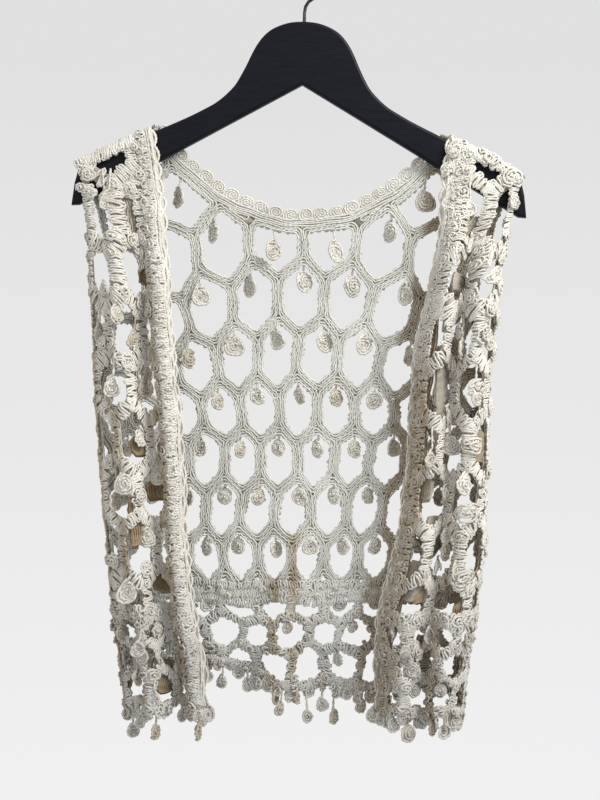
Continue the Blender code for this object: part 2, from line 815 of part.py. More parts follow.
def build_hanger_hook(look):
    _, curve = new_curve("hanger_hook", "3D", look)
    curve.bevel_depth = WIRE_RADIUS * MM
    curve.bevel_resolution = 2
    curve.use_fill_caps = True
    route = hook_route()
    line = curve.splines.new("POLY")
    line.points.add(len(route) - 1)
    for point, (x, z) in zip(line.points, route):
        turned_x, below = tilted(x, -z)
        point.co = (turned_x * MM, 0, -below * MM, 1)


def new_material(name, colour, roughness, metallic=0.0):
    material = bpy.data.materials.new(name)
    material.use_nodes = True
    shader = material.node_tree.nodes["Principled BSDF"]
    shader.inputs["Base Color"].default_value = (*colour, 1)
    shader.inputs["Roughness"].default_value = roughness
    shader.inputs["Metallic"].default_value = metallic
    return material


def build_back(look):
    side = [(-float(back_width(b, True)), b) for b in (440.0, BACK_END)]
    other = [(float(back_width(b, False)), b) for b in (440.0, BACK_END)]
    panel = Panel(
        back_point,
        [shoulder_line(back_point, -222, -150), shoulder_line(back_point, 140, 212)],
        [(*side, [-way for way in SIDE_CREASES]), (*other, SIDE_CREASES)],
    )
    build_net("back_panel", panel, BACK_ROWS, BACK_FIELDS, BACK_BAR, look, parity=1)
    rows = border_rows("back", BACK_END, BACK_BORDER)
    fields = border_fields(BACK_FIELDS, "back", BACK_END)
    build_net("hem_back", panel, rows, fields, BORDER_BAR, look, drops=False)
    first = 3 - float(back_width(hem_below("back", -200), True))
    last = float(back_width(hem_below("back", 200), False)) - 3
    build_fringe("back", back_point, first, last, look)
    build_neck_band(panel, look)


def build_front(side, look):
    front = Front(side)
    shoulder = shoulder_line(front.point, 0, float(front.width(170)))
    panel = Panel(front.point, [shoulder], [])
    rows = [(row[0] + FRONT_LOWER[side], *row[1:]) for row in FRONT_ROWS]
    build_net("front_" + side, panel, rows, front.fields(), FRONT_BAR, look)
    rows = border_rows(side, front.end, FRONT_BORDER)
    fields = border_fields(front.fields(), side, front.end)
    build_net("hem_" + side, panel, rows, fields, BORDER_BAR, look, drops=False)
    build_front_band(front, panel, look)
    last = float(front.width(hem_below(side, 0))) - 3
    build_fringe(side, front.point, 1.0, last, look)


def main():
    for obj in list(bpy.data.objects):
        bpy.data.objects.remove(obj)
    collection = bpy.data.collections.new("crochet_vest_on_hanger")
    bpy.context.scene.collection.children.link(collection)
    wood = new_material("black_wood", (0.012, 0.013, 0.019), 0.45)
    wire = new_material("black_wire", (0.01, 0.01, 0.011), 0.35, 0.6)
    build_hanger_arms((wood, collection))
    build_hanger_hook((wire, collection))
    look = new_material("ecru_cotton", (0.72, 0.67, 0.56), 0.9), collection
    build_back(look)
    build_front("left", look)
    build_front("right", look)


main()
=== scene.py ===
"""Crochet vest on its hanger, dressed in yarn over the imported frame.

Every panel is worked from the same drape as its solid: a place on a panel is (u, b), where u runs
across the cloth as it would lie flat and b is how far below the hook's resting point it hangs, in
millimetres. Strands follow the cells of the net there, and MM turns the finished points to metres.
Left and right are the viewer's.
"""

import math

import bpy
import numpy as np
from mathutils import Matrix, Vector


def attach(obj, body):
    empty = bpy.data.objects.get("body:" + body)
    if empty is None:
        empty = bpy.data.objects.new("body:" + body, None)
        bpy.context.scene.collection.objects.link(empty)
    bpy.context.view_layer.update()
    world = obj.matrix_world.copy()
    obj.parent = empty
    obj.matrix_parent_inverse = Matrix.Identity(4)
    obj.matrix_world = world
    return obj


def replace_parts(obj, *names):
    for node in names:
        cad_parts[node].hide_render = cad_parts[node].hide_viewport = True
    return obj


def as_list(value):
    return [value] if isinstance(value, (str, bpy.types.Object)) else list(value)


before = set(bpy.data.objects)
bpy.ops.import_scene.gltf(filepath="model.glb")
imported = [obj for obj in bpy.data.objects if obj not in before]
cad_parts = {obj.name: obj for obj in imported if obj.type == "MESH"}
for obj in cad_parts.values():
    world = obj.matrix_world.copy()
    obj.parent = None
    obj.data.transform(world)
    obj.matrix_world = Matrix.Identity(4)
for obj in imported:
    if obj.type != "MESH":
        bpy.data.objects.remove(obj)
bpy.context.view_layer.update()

MM = 0.001
GAP = 0.35  # half the space between neighbouring cloths

# Hanger
HANGER_THICK = 11.0
HANGER_ROUND = 3.0
HANGER_TILT = math.radians(1.65)
HANGER_OUTLINE = (  # right half, untilted: out from the middle, below the hook's resting point
    (0, 62), (13, 63.2), (24.5, 66.9), (33, 71.5), (39.2, 77.2), (45, 85), (50, 94.3),
    (55, 105.5), (60.4, 116.3), (66, 126), (73.5, 134.5), (84, 143.5), (98, 151.8),
    (144, 174.2), (216, 210), (220, 226), (222.5, 247.5), (215, 247), (0, 123.7),
)
ARM_TOP = ((144, 174.2), (216, 210))  # the straight stretch that carries the shoulders
CURVED = 15  # so many of the outline's points are joined by a smooth curve
CURVE_STEP = 3.0

# Cloth
SHOULDER_BEND = 8.2  # from the hanger's mid-plane to the middle of the cloth over its arm
CROWN = 3.2  # the bend's centre lies this far below the arm's top edge
SIDE_BEND = 12.7  # radius on which the back turns forward to the side seams
SEAM_DEPTH = 0.5  # y of the side seams
UNDERARM = 427.0
SIDE_START = 360  # below this the sides begin to close
ARMHOLE_TOP = 205
ARMHOLE_CUT = 14.0
FOLD_START = 205
FOLD_GROWTH = 135  # the fronts' folds are full this far below their start
BAND = 22.0  # width of the front edge bands
NECK_HALF = 3.7  # of the neck band, without its rosettes
BACK_END = 619.0  # where the net gives way to the lace border
FRONT_END = {"left": 635.0, "right": 641.0}
BACK_BORDER = 92.0  # depth of the lace border
FRONT_BORDER = 90.0
FRONT_LOWER = {"left": 0, "right": 6}  # how much lower the net's rows lie

FRONT_EDGES = {  # below the hook, x of the front edge, x of the side
    "left": (
        (160, -149, -222), (215, -140, -219), (260, -135, -212), (320, -130, -208),
        (380, -126, -205), (440, -120, -203), (510, -115, -198), (580, -112, -192),
        (640, -104, -186), (700, -95, -178), (770, -90, -172),
    ),
    "right": (
        (170, 138, 212), (225, 131, 206), (260, 129, 196), (320, 119, 186),
        (380, 105, 180), (440, 100, 176), (510, 95, 174), (580, 84, 171),
        (640, 68, 164), (700, 66, 154), (770, 64, 148),
    ),
}
FOLDS = {  # name, share of the way from front edge to side, depth y where the folds are full
    "left": (
        ("front edge", 0.00, -24), ("band ridge", 0.17, -34), ("valley by the band", 0.37, -13),
        ("middle ridge", 0.63, -41), ("side valley", 0.81, -27), ("side turn", 0.965, -20),
        ("side seam", 1.00, SEAM_DEPTH),
    ),
    "right": (
        ("turned-back edge", 0.00, -9), ("edge ridge", 0.29, -43), ("middle valley", 0.50, -24),
        ("outer ridge", 0.73, -45), ("side turn", 0.955, -23), ("side seam", 1.00, SEAM_DEPTH),
    ),
}
NECK_LINE = (  # x and b of the neck band's middle, from the left shoulder seam to the right one
    (-149, 150), (-145, 174), (-128, 197), (-102, 218.5), (-69, 241.7), (-35, 253.6), (-3, 257.6),
    (33, 253.6), (62, 243.8), (90, 227), (116, 205), (131, 185), (139, 158),
)

# Nets: a row of cells has its tops at apex, its side bars start slant lower, and the next row's
# tops are where those bars end. Edge drop is how much lower the row is 100 mm from its centre.
BACK_ROWS = (  # apex, slant, pitch, centre, edge drop
    (124, 25, 62, -3, 3), (178, 25, 60, -3, 6), (233, 25, 57, -3, 10), (289, 23.5, 51, -3, 14),
    (348, 20, 43.4, -5.3, 14), (405, 19.6, 38.9, -8.8, 8), (458, 16.2, 37.4, -7.3, 0),
    (506, 18.6, 35.3, -8.8, 0), (556, 17.6, 34.7, -13.7, 0), (598, 18, 32.9, -15.2, 0),
    (646, 18, 32.9, -15.2, 0),
)
FRONT_PITCH = 46
FRONT_CENTRE = 50
FRONT_ROWS = (  # apex and slant
    (144, 24), (202, 22), (273, 20), (327, 20), (381, 20), (434, 19), (486, 19), (538, 18),
    (591, 18), (650, 18),
)
BORDER_LEVELS = (-0.31, 0.0, 0.27, 0.58, 0.97, 1.3)  # tops of its rows, as shares of its depth
BORDER_SLANT = 9.0
BORDER_PITCH = 33.0
BORDER_CENTRE = {"back": -15.2, "left": 50.0, "right": 47.0}
BACK_BAR = 4.8  # half the width of a net's bars
FRONT_BAR = 5.6
BORDER_BAR = 5.3
SMALLEST_HOLE = 60.0  # mm2; a smaller gap is worked solid
SLIVER = 2.6  # a clipped cell thinner than this is left out
SNAP = 5.0  # net points this near a panel's edge lie on it
PROBE = 0.4  # to each side of a place, to find how the cloth lies there
WALL = 1.2  # thickness of the ground under the strands

# Yarn
STRAND = 1.0  # radius
STRAND_STEP = 2.6  # between a strand's rings, half a stitch
FRONT_STEP = 3.4  # the same on the fronts
COLUMN_STRAND = 1.15  # radius of the strands on the dark cloth of painted shade
COLUMN_STEP = 4.2  # between their rings
COLUMN_PITCH = 2.6  # from one to the next
INSIDE = -1.3  # how far the long strands of the inner side lie off the cloth's middle
OUTSIDE = 1.3
STRAND_PLACES = (0.9, 2.7, 4.5, 6.3, 8.1)  # how far inside a cell's outline its strands run
FRONT_PLACES = (1.4, 4.2)  # the same on the fronts
RIDGE_PITCH = 4.9  # of the stitches across a bar on the outer side
REAR_PITCH = 5.3  # of the back's, seen from the rear
RIDGE_HALF = 1.3  # half the width of such a stitch's loop
RIDGE_ARCH = 0.8  # how far its middle stands up
RIDGE_STRAND = 1.2
COIL_STRAND = 1.2
DROP_STRAND = 1.35
BORDER_PITCH_ACROSS = 4.3  # of the stitches across a border's bars
HIDDEN_PITCH = 1.7  # how much farther apart they lie on the side that isn't seen
ROW_PITCH = 4.6  # of the stitches along a seam
BAND_RIDGE = 4.6  # pitch of the stitches on the front bands
BAND_STITCHES = ((18.2, 3.6), (13.2, 2.6))  # u and half width of their rows
LONG_STRANDS = (6.2, 8.5, 10.6)  # u of the strands beside them
CURL_PITCH = 9.5  # of the coils on the bands
CURL_PLACE = 16.4  # their u
CORD_PITCH = 18.0  # of the loops along the front edge
SCALLOP_PITCH = 13.0  # of the drops along a hem
NECK_STRANDS = 4  # side by side in the neck band
ROSETTE_PITCH = 16.0  # along its upper edge
ROSETTE_HEIGHT = 13.0
BORDER_SLACK = 2.8  # how far the border's lace strays from an even net
SEAM_LEVEL = 190  # depth at which the seams' ends are measured
BACK_SEAM_ENDS = (-147, 139)  # x of the shoulder seams' ends by the neck
SEAM_ROWS = (3.8, 10.4)  # how far below a shoulder seam its rows of stitches lie
JOIN_ROWS = (-5.0, 3.0, 10.5)  # how far below the net's end the rows that join its border lie
LUMPS = {  # x, depth below the hook and size of the rosettes that stand out on the fronts
    "left": (
        (-213, 213, 7), (-208, 232, 5), (-184, 276, 7), (-168, 280, 8), (-160, 290, 8),
        (-157, 276, 7), (-190, 326, 7), (-163, 338, 9), (-148, 346, 8), (-193, 378, 6), (-172, 396, 7),
        (-150, 420, 8), (-186, 432, 7), (-163, 470, 7), (-186, 492, 6), (-160, 522, 7), (-184, 586, 7),
        (-154, 594, 7),
    ),
    "right": (
        (144, 189, 7), (136, 208, 6), (181, 196, 8), (172, 190, 5), (199, 216, 8), (201, 240, 6),
        (157, 282, 7), (170, 290, 8), (188, 292, 9), (164, 306, 7), (176, 314, 9), (190, 322, 8),
        (160, 336, 7), (172, 346, 8), (186, 352, 8), (150, 366, 7), (166, 372, 8), (180, 384, 8),
        (140, 400, 8), (162, 420, 8), (178, 440, 8), (134, 452, 8), (158, 476, 8), (172, 500, 8),
        (130, 520, 8), (152, 540, 9), (168, 566, 8), (124, 590, 8), (148, 600, 8),
    ),
}
GROUND_MARGIN = 1.2  # between the ground's edge and a gap's, where only strands lie
LEAST_WITH_DROP = 600  # mm2 of a cell of the back that has a drop
LEAST_WITH_DISC = 350  # mm2 of a border's cell that may have a disc
CHAIN_RINGS = 7  # of the short chain that a drop hangs on
DROP_TAPER = 0.22  # how much wider than its middle a drop is at its foot
DROP_TURN = 0.85  # radians that the most turned drop shows its edge by
MOST_TURNED = 0.75  # and the most for a drop of the back, with the turn of its cloth
HANGING = {  # x, depth, size and turn of the drops that are seen on the fronts
    "left": (
        (-171, 228, 8, 0.2), (-198, 270, 6, 0.7), (-190, 289, 8.5, 0.1), (-179, 348, 9, 1.2),
        (-200, 398, 9, 1.0), (-163, 403, 10, 0.9), (-154, 455, 10, 1.15), (-181, 459, 9.5, 0),
        (-144, 503, 8.5, 0.2), (-172, 511, 10, 0), (-154, 559, 9.5, 0), (-182, 559, 8, 1.0),
        (-168, 610, 10.5, 0),
    ),
    "right": (
        (159, 246, 6.5, 0.3), (151, 408, 10.5, 0.9), (175, 405, 10, 1.1), (161, 459, 8, 1.0),
        (136, 475, 9, 0), (151, 513, 11, 0.9), (118, 506, 8, 1.0), (135, 558, 7, 0.4),
        (135, 577, 10, 1.0), (144, 615, 11, 0.8),
    ),
}
HEM_HANGING = {
    "left": (
        (-173, 651, 8, 0.9), (-144, 647, 8, 0.6), (-155, 666, 7, 0), (-164, 693, 5, 0.8),
        (-145, 716, 7, 0),
    ),
    "right": ((118, 656, 9, 0), (153, 659, 6, 0.7), (100, 688, 8, 0.2), (97, 670, 5.5, 0)),
}
PENDANTS = {  # the same, below the hem
    "back": (
        (-98, 705, 6, 0.3), (-82, 711, 6, 0), (-58, 714, 6.5, 0.4), (-44, 698, 6, 0),
        (-31, 722, 7, 1.0), (-23, 734, 7, 0.8), (-11, 724, 6, 1.1), (-1, 745, 6, 0.3),
        (15, 735, 7, 0.2), (28, 746, 8, 1.0), (40, 722, 6, 0.2), (56, 734, 8, 0.7),
        (75, 737, 7, 0.2),
    ),
    "left": (
        (-175, 735, 5.5, 0.4), (-168, 750, 6.5, 0.2), (-156, 740, 5.5, 0), (-142, 748, 7.5, 1.0),
        (-122, 738, 5.5, 0.3), (-104, 748, 8, 1.2), (-98, 738, 6, 0.5),
    ),
    "right": (
        (84, 742, 7.5, 0.3), (98, 750, 9, 0.8), (109, 742, 5.5, 0.4), (122, 744, 8, 1.0),
        (133, 746, 7.5, 0.7), (145, 742, 5.5, 0.5),
    ),
}
SHADED_PLACES = {  # x and depth of opposite corners, where dark cloth, painted shade, shows behind the gaps
    "left": (
        (-160, 305, -151, 322), (-151, 337, -140, 380), (-146, 392, -137, 426),
        (-164, 468, -150, 486), (-151, 512, -137, 531), (-171, 525, -156, 573),
        (-144, 594, -128, 619),
    ),
    "right": ((157, 462, 173, 492), (141, 625, 165, 638), (105, 606, 119, 626)),
}
HEM_SHADED_PLACES = {
    "left": ((-145, 682, -122, 712), (-149, 660, -136, 676), (-177, 696, -166, 709)),
    "right": ((107, 660, 120, 683),),
}
# the same for greyer cloth, painted shade of the cloth behind
BEHIND_PLACES = {
    "left": ((-185, 236, -164, 268),),
    "right": (
        (152, 253, 168, 280), (141, 311, 151, 330), (134, 353, 142, 368), (124, 301, 133, 318),
        (120, 395, 137, 440), (124, 437, 135, 469), (111, 545, 129, 587), (106, 507, 121, 530),
        (93, 585, 109, 623),
    ),
}

# Painted light and shade, and colours
LIT_FROM = (0.53, 0.81, 0.25)  # where the painted shade's light comes from: across, towards the viewer, up
HIGH_LIGHT = 425.0  # the right front has painted light to this depth
EDGE_SHADOW = 19.0  # width of the painted shadow that the right front lays on the back
BACK_FOLD_SHADES = ((-12, 6.5, 545, 712), (-32, 7, 585, 722))  # painted shade in the back's folds: x, half width, top and bottom
SHADE_START = 0.5  # cloth lit less than this gets painted shade
SHADE_RANGE = 0.58  # and full painted shade, where it is lit this much less
CREVICE_SHADE = (0.25, 0.195, 0.125)  # painted shade between the stitches and on the strands' undersides
SHADED = (0.29, 0.205, 0.105)  # painted shade of cloth that faces away from the light
# painted shade of the ground
SHADED_GROUND = (0.17, 0.115, 0.05)
LOW_LIGHT = (0.76, 0.765, 0.785)  # painted shade: what the yarn's colour is multiplied by below the hem
STITCH_SHADE = 0.22  # share of the painted shade between stitches
UNDER_SHADE = 0.32  # and of the painted shade on a strand's underside

# Stage
FLOOR_RADIUS = 0.7
FLOOR_HEIGHT = -1.08
CAMERA_PLACE = (-0.006, -1.300, -0.432)
CAMERA_LENS = 59.7
CAMERA_SENSOR = 36
LIGHTS_AIM = (0, 0, -0.42)
LIGHTS = (  # name, place, size, power and colour
    ("key", (0.95, -0.78, 0.72), 0.6, 30, (1, 0.985, 0.955)),
    ("fill", (-1.3, -1.5, 0.3), 1.4, 5, (0.97, 0.985, 1)),
)
ROOM_GREYS = ((0.27, 0.45), (0.352, 0.88), (0.62, 0.75))  # from below to above

DICE = np.random.default_rng(7)


def smooth(t):
    """0 to 1 with level ends."""
    t = np.clip(t, 0.0, 1.0)
    return t * t * (3 - 2 * t)


def blend(a, b, t):
    return a + (b - a) * t


def spline(x, knots, values):
    """Smooth curve through values at rising knots, flat beyond its ends."""
    knots, values = np.asarray(knots, float), np.asarray(values, float)
    slope = np.gradient(values, knots)
    x = np.clip(x, knots[0], knots[-1])
    i = np.clip(np.searchsorted(knots, x) - 1, 0, len(knots) - 2)
    span = knots[i + 1] - knots[i]
    t = (x - knots[i]) / span
    rise = (1 + 2 * t) * (1 - t) ** 2 * values[i] + t * t * (3 - 2 * t) * values[i + 1]
    return rise + span * t * (1 - t) * ((1 - t) * slope[i] - t * slope[i + 1])


def arc_lengths(line):
    """How far along a line of points each of them lies."""
    return np.concatenate([[0], np.cumsum(np.hypot(*np.diff(line, axis=0).T))])


def along_line(at, arc, line):
    """The points at lengths along a line."""
    return np.stack([np.interp(at, arc, line[:, i]) for i in (0, 1)], axis=-1)


def curve_through(line, count):
    """Evenly spaced points on a smooth curve through a line's points."""
    arc = arc_lengths(line)
    at = np.linspace(0, arc[-1], count)
    return np.stack([spline(at, arc, line[:, i]) for i in (0, 1)], axis=-1)


def tilted(x, below):
    """A hanger point, turned with the hanger about its hook."""
    c, s = math.cos(HANGER_TILT), math.sin(HANGER_TILT)
    return x * c - below * s, x * s + below * c


def arm_below(x):
    """How far below the hook the top edge of the hanger's arm lies at x."""
    heights = []
    for side in (-1, 1):
        start, end = sorted(tilted(side * out, below) for out, below in ARM_TOP)
        slope = (end[1] - start[1]) / (end[0] - start[0])
        heights.append(start[1] + slope * (x - start[0]))
    return np.where(np.asarray(x) < 0, *heights)


def seam_below(x):
    """Where the shoulder seam lies in a panel's b, at the top of the bend over the arm."""
    return arm_below(x) + CROWN - SHOULDER_BEND * math.pi / 2


def over_arm(x, y, b):
    """Bends a hanging panel over the hanger's arm."""
    crown = arm_below(x) + CROWN
    turn = np.clip((crown - b) / SHOULDER_BEND, 0, math.pi / 2)
    z = SHOULDER_BEND * np.sin(turn) - np.maximum(b, crown)
    return np.stack([x + 0 * z, y * np.cos(turn), z], axis=-1)


def joined(b):
    """0 where the sides are open armholes, 1 where they are joined in side seams."""
    return smooth((b - SIDE_START) / (UNDERARM - SIDE_START))


class Front:
    """A front panel. u runs round its folds from the front edge to the side."""

    STEP = 4.0  # between the rows that the drape is worked out for
    COLUMNS = 241

    def __init__(self, side):
        below, inner, outer = np.array(FRONT_EDGES[side], float).T
        share, depth = np.array([fold[1:] for fold in FOLDS[side]], float).T
        knots = np.linspace(0, 1, len(share))
        t = np.linspace(0, 1, 500)
        self.side, self.end = side, FRONT_END[side]
        self.rows = np.arange(below[0] - 40, below[-1] + 40, self.STEP)
        self.length, self.x, self.y = [], [], []
        for b in self.rows:
            y = blend(-SHOULDER_BEND, depth, smooth((b - FOLD_START) / FOLD_GROWTH))
            y[-1] = blend(-SHOULDER_BEND, SEAM_DEPTH, joined(b))
            edge, outside = spline(b, below, inner), spline(b, below, outer)
            x = edge + (outside - edge) * spline(t, knots, share)
            y = spline(t, knots, y)
            arc = arc_lengths(np.stack([x, y], axis=-1))
            even = np.linspace(0, arc[-1], self.COLUMNS)
            self.length.append(arc[-1])
            self.x.append(np.interp(even, arc, x))
            self.y.append(np.interp(even, arc, y))
        self.length, self.x, self.y = (np.array(v) for v in (self.length, self.x, self.y))

    def width(self, b):
        """Flat width of the cloth at b."""
        return np.interp(b, self.rows, self.length)

    def point(self, u, b):
        u, b = np.broadcast_arrays(np.asarray(u, float), np.asarray(b, float))
        row = np.clip((b - self.rows[0]) / self.STEP, 0, len(self.rows) - 1.001)
        first = row.astype(int)
        found = []
        for i in (first, first + 1):
            column = u / self.length[i] * (self.COLUMNS - 1)
            j = np.clip(column.astype(int), 0, self.COLUMNS - 2)
            found.append([blend(v[i, j], v[i, j + 1], column - j) for v in (self.x, self.y)])
        x, y = (blend(found[0][i], found[1][i], row - first) for i in (0, 1))
        return over_arm(x, y, b)

    def fields(self):
        """Each is positive inside the net and 0 on one of its edges."""
        return (
            lambda u, b: float(b - seam_below(self.point(u, b)[0])) - GAP,
            lambda u, b: u - BAND - 2 * GAP,
            lambda u, b: float(self.width(b)) - u - GAP,
            lambda u, b: self.end - b,
        )


def side_x(side, b):
    below, _, outer = np.array(FRONT_EDGES[side], float).T
    return spline(b, below, outer)


def back_edge(b, left):
    """How far out the back's edge is seen, on the left or right of x = 0."""
    share = np.clip((b - ARMHOLE_TOP) / (UNDERARM - ARMHOLE_TOP), 0, 1)
    cut = ARMHOLE_CUT * np.sin(math.pi * share)
    return np.where(left, -side_x("left", b), side_x("right", b)) - cut


def back_width(b, left):
    """Flat distance from x = 0 to the back's edge."""
    turn = np.maximum(joined(b), 1e-6)
    arc = SIDE_BEND * math.pi / 2
    return back_edge(b, left) + arc - SIDE_BEND / turn * np.sin(turn * math.pi / 2)


def back_relief(x, b):
    """y of the back before it turns forward: a fold that deepens downward, and slack ripples."""
    hang = SHOULDER_BEND + 5 * smooth((b - 255) / 80)
    fold_at = -5 - 17 * smooth((b - 430) / 270)
    fold = 15 * smooth((b - 400) / 300) * np.exp(-(((x - fold_at) / 17) ** 2))
    ripple = 2.2 * smooth((b - 300) / 150) * np.sin(x / 24 + b / 95)
    flutter = 3.5 * smooth((b - 600) / 100) * np.sin(x / 13 - b / 60)
    calm = 1 - smooth((np.abs(x + 10) - 110) / 45)
    return hang - fold + (ripple + flutter) * calm


def back_point(u, b):
    u, b = np.broadcast_arrays(np.asarray(u, float), np.asarray(b, float))
    left = u < 0
    turn = np.maximum(joined(b), 1e-6)
    arc = SIDE_BEND * math.pi / 2
    past = np.maximum(np.abs(u) - (back_width(b, left) - arc), 0)
    radius = SIDE_BEND / turn
    out = np.abs(u) - past + radius * np.sin(past / radius)
    y = back_relief(np.where(left, -out, out), b) - radius * (1 - np.cos(past / radius))
    return over_arm(np.where(left, -out, out), y, b)


NECK = curve_through(np.array(NECK_LINE, float), 160)  # (u, b) along the middle of its band
NECK_ARC = arc_lengths(NECK)
ACROSS_NECK = np.stack([-np.gradient(NECK[:, 1]), np.gradient(NECK[:, 0])], axis=-1)
ACROSS_NECK /= np.linalg.norm(ACROSS_NECK, axis=1)[:, None]  # towards the net


def below_neck(u, b):
    """Distance from the middle of the neck band, positive on the net's side."""
    offset = np.array([u, b]) - NECK
    nearest = int(np.argmin((offset**2).sum(axis=1)))
    return float(offset[nearest] @ ACROSS_NECK[nearest])


BACK_FIELDS = (
    lambda u, b: float(b - seam_below(u)) - GAP,
    lambda u, b: below_neck(u, b) - NECK_HALF - 2 * GAP,
    lambda u, b: float(back_width(b, True)) + u - GAP,
    lambda u, b: float(back_width(b, False)) - u - GAP,
    lambda u, b: BACK_END - b,
)


def hem_below(side, u):
    """Where the lace border ends and the strip of hanging drops begins."""
    if side == "back":
        return 688 + 26 * smooth((np.asarray(u, float) + 95) / 85)
    return np.full_like(np.asarray(u, float), FRONT_END[side] + FRONT_BORDER)


def border_fields(panel_fields, side, top):
    """The edges of a lace border: its panel's sides, the net above and the hem below."""
    sides = panel_fields[2:4] if side == "back" else panel_fields[1:3]
    return (
        *sides,
        lambda u, b: b - top - 2 * GAP,
        lambda u, b: float(hem_below(side, u)) - b,
    )


def border_rows(side, top, depth):
    centre = BORDER_CENTRE[side]
    return [(top + share * depth, BORDER_SLANT, BORDER_PITCH, centre, 0) for share in BORDER_LEVELS]


def net_point(rows, kind, k, j):
    """The top of a cell, or the corner where its side bar starts, in half pitches j."""
    apex, slant, pitch, centre, drop = rows[k]
    if kind == "corner" and k + 1 < len(rows):
        pitch = (pitch + rows[k + 1][2]) / 2
        centre = (centre + rows[k + 1][3]) / 2
    u = centre + j * pitch / 2
    b = apex + (slant if kind == "corner" else 0)
    return u, b + drop * ((u - centre) / 100) ** 2


def net_cells(rows, parity=0, reach=14):
    """Six-sided cells, each with its row and place and its corners, clockwise from the top."""
    for k in range(len(rows) - 1):
        for j in range(-reach, reach + 1):
            if (j + k + parity) % 2:
                continue
            corners = (
                ("top", k, j), ("corner", k, j + 1), ("top", k + 1, j + 1),
                ("corner", k + 1, j), ("top", k + 1, j - 1), ("corner", k, j - 1),
            )
            yield k, j, [net_point(rows, *corner) for corner in corners]


def onto_line(point, field):
    """The nearest point where field is 0, reached in a few steps down its slope."""
    u, b = point
    for _ in range(4):
        value = field(u, b)
        du = field(u + 0.05, b) - value
        db = field(u, b + 0.05) - value
        steep = (du * du + db * db) / 0.05
        if steep < 1e-9:
            break
        u, b = u - value * du / steep, b - value * db / steep
    return u, b


def crossing(inside, outside, field):
    """Where the way from inside to outside meets the field's zero line."""
    near, far = np.array(inside), np.array(outside)
    for _ in range(24):
        middle = (near + far) / 2
        if field(*middle) >= 0:
            near = middle
        else:
            far = middle
    return tuple(near)


def clip(shape, field, spacing=13.0):
    """The part of a closed outline where field is positive; its cut edge follows the zero line."""
    inside = [field(*p) >= -1e-3 for p in shape]
    if all(inside):
        return shape
    if not any(inside):
        return []
    kept, left_at = [], None
    for i, point in enumerate(shape):
        after = (i + 1) % len(shape)
        if inside[i]:
            kept.append(point)
        if inside[i] and not inside[after]:
            kept.append(crossing(point, shape[after], field))
            left_at = len(kept)
        elif inside[after] and not inside[i]:
            kept.append(crossing(shape[after], point, field))
    leave, enter = np.array(kept[left_at - 1]), np.array(kept[left_at % len(kept)])
    count = int(np.linalg.norm(enter - leave) // spacing)
    between = [tuple(blend(leave, enter, (i + 1) / (count + 1))) for i in range(count)]
    kept[left_at:left_at] = [onto_line(p, field) for p in between]
    return kept


def follow(shape, field, spacing=18.0):
    """Adds points to the outline's long edges that run along the field's zero line."""
    kept = []
    for i, point in enumerate(shape):
        start, end = np.array(point), np.array(shape[(i + 1) % len(shape)])
        kept.append(point)
        length = math.dist(start, end)
        on_line = max(abs(field(*start)), abs(field(*end))) < 0.05
        if on_line and length > spacing and abs(field(*blend(start, end, 0.5))) < length / 8:
            count = int(length // spacing)
            between = [blend(start, end, (n + 1) / (count + 1)) for n in range(count)]
            kept += [onto_line(p, field) for p in between]
    return kept


def tidy_outline(shape, least=1.5):
    """The outline without points that nearly coincide."""
    kept = []
    for point in shape:
        if not kept or math.dist(point, kept[-1]) > least:
            kept.append(point)
    while len(kept) > 1 and math.dist(kept[0], kept[-1]) <= least:
        kept.pop()
    return kept


def area(shape):
    pairs = zip(shape, shape[1:] + shape[:1])
    return sum(p[0] * q[1] - q[0] * p[1] for p, q in pairs) / 2


def thickness(shape):
    """Mean width of a long shape."""
    around = sum(math.dist(shape[i - 1], shape[i]) for i in range(len(shape)))
    return 2 * abs(area(shape)) / around


def panel_cells(rows, fields, parity=0):
    """The net's cells, fitted to the panel's edges: row, place, u of the drop and outline."""

    def fitted(point):
        for field in fields:
            if abs(field(*point)) < SNAP:
                point = onto_line(point, field)
        return point

    for k, j, cell in net_cells(rows, parity):
        middle = cell[0][0]
        shape = [fitted(point) for point in cell]
        for field in fields:
            if shape:
                shape = tidy_outline(clip(shape, field))
        if len(shape) < 3 or thickness(shape) < SLIVER:
            continue
        for field in fields:
            shape = follow(shape, field)
        yield k, j, middle, shape


def inset(shape, distance):
    """The outline moved inward, or None where it would close up."""
    turn = 1 if area(shape) > 0 else -1
    count = len(shape)
    ways = []
    for i in range(count):
        step = np.subtract(shape[(i + 1) % count], shape[i])
        ways.append(step / np.linalg.norm(step))
    moved = []
    for i in range(count):
        before, after = ways[i - 1], ways[i]
        normals = [turn * np.array([-way[1], way[0]]) for way in (before, after)]
        share = 1 + normals[0] @ normals[1]
        if share < 0.35:
            return None
        moved.append(tuple(np.array(shape[i]) + distance * (normals[0] + normals[1]) / share))
    for i in range(count):
        if np.subtract(moved[(i + 1) % count], moved[i]) @ ways[i] <= 0.5:
            return None
    return moved if abs(area(moved)) > SMALLEST_HOLE and area(moved) * turn > 0 else None


def without_short_edges(shape, least):
    """Merges corners that lie close, so that the outline can be moved inward."""
    shape = list(shape)
    while len(shape) > 4:
        gaps = [math.dist(shape[i - 1], shape[i]) for i in range(len(shape))]
        i = int(np.argmin(gaps))
        if gaps[i] >= least:
            break
        shape[i - 1] = tuple(np.mean([shape[i - 1], shape[i]], axis=0))
        del shape[i]
    return shape


def unit(v):
    return v / np.maximum(np.linalg.norm(v, axis=-1, keepdims=True), 1e-9)


def hung(place, u, b):
    """Middle of the cloth, the way across it and its normal at each (u, b)."""
    across = place(u + PROBE, b) - place(u - PROBE, b)
    down = place(u, b + PROBE) - place(u, b - PROBE)
    normal = np.cross(down, across)
    across, normal = (v / np.linalg.norm(v, axis=-1, keepdims=True) for v in (across, normal))
    return place(u, b), across, normal


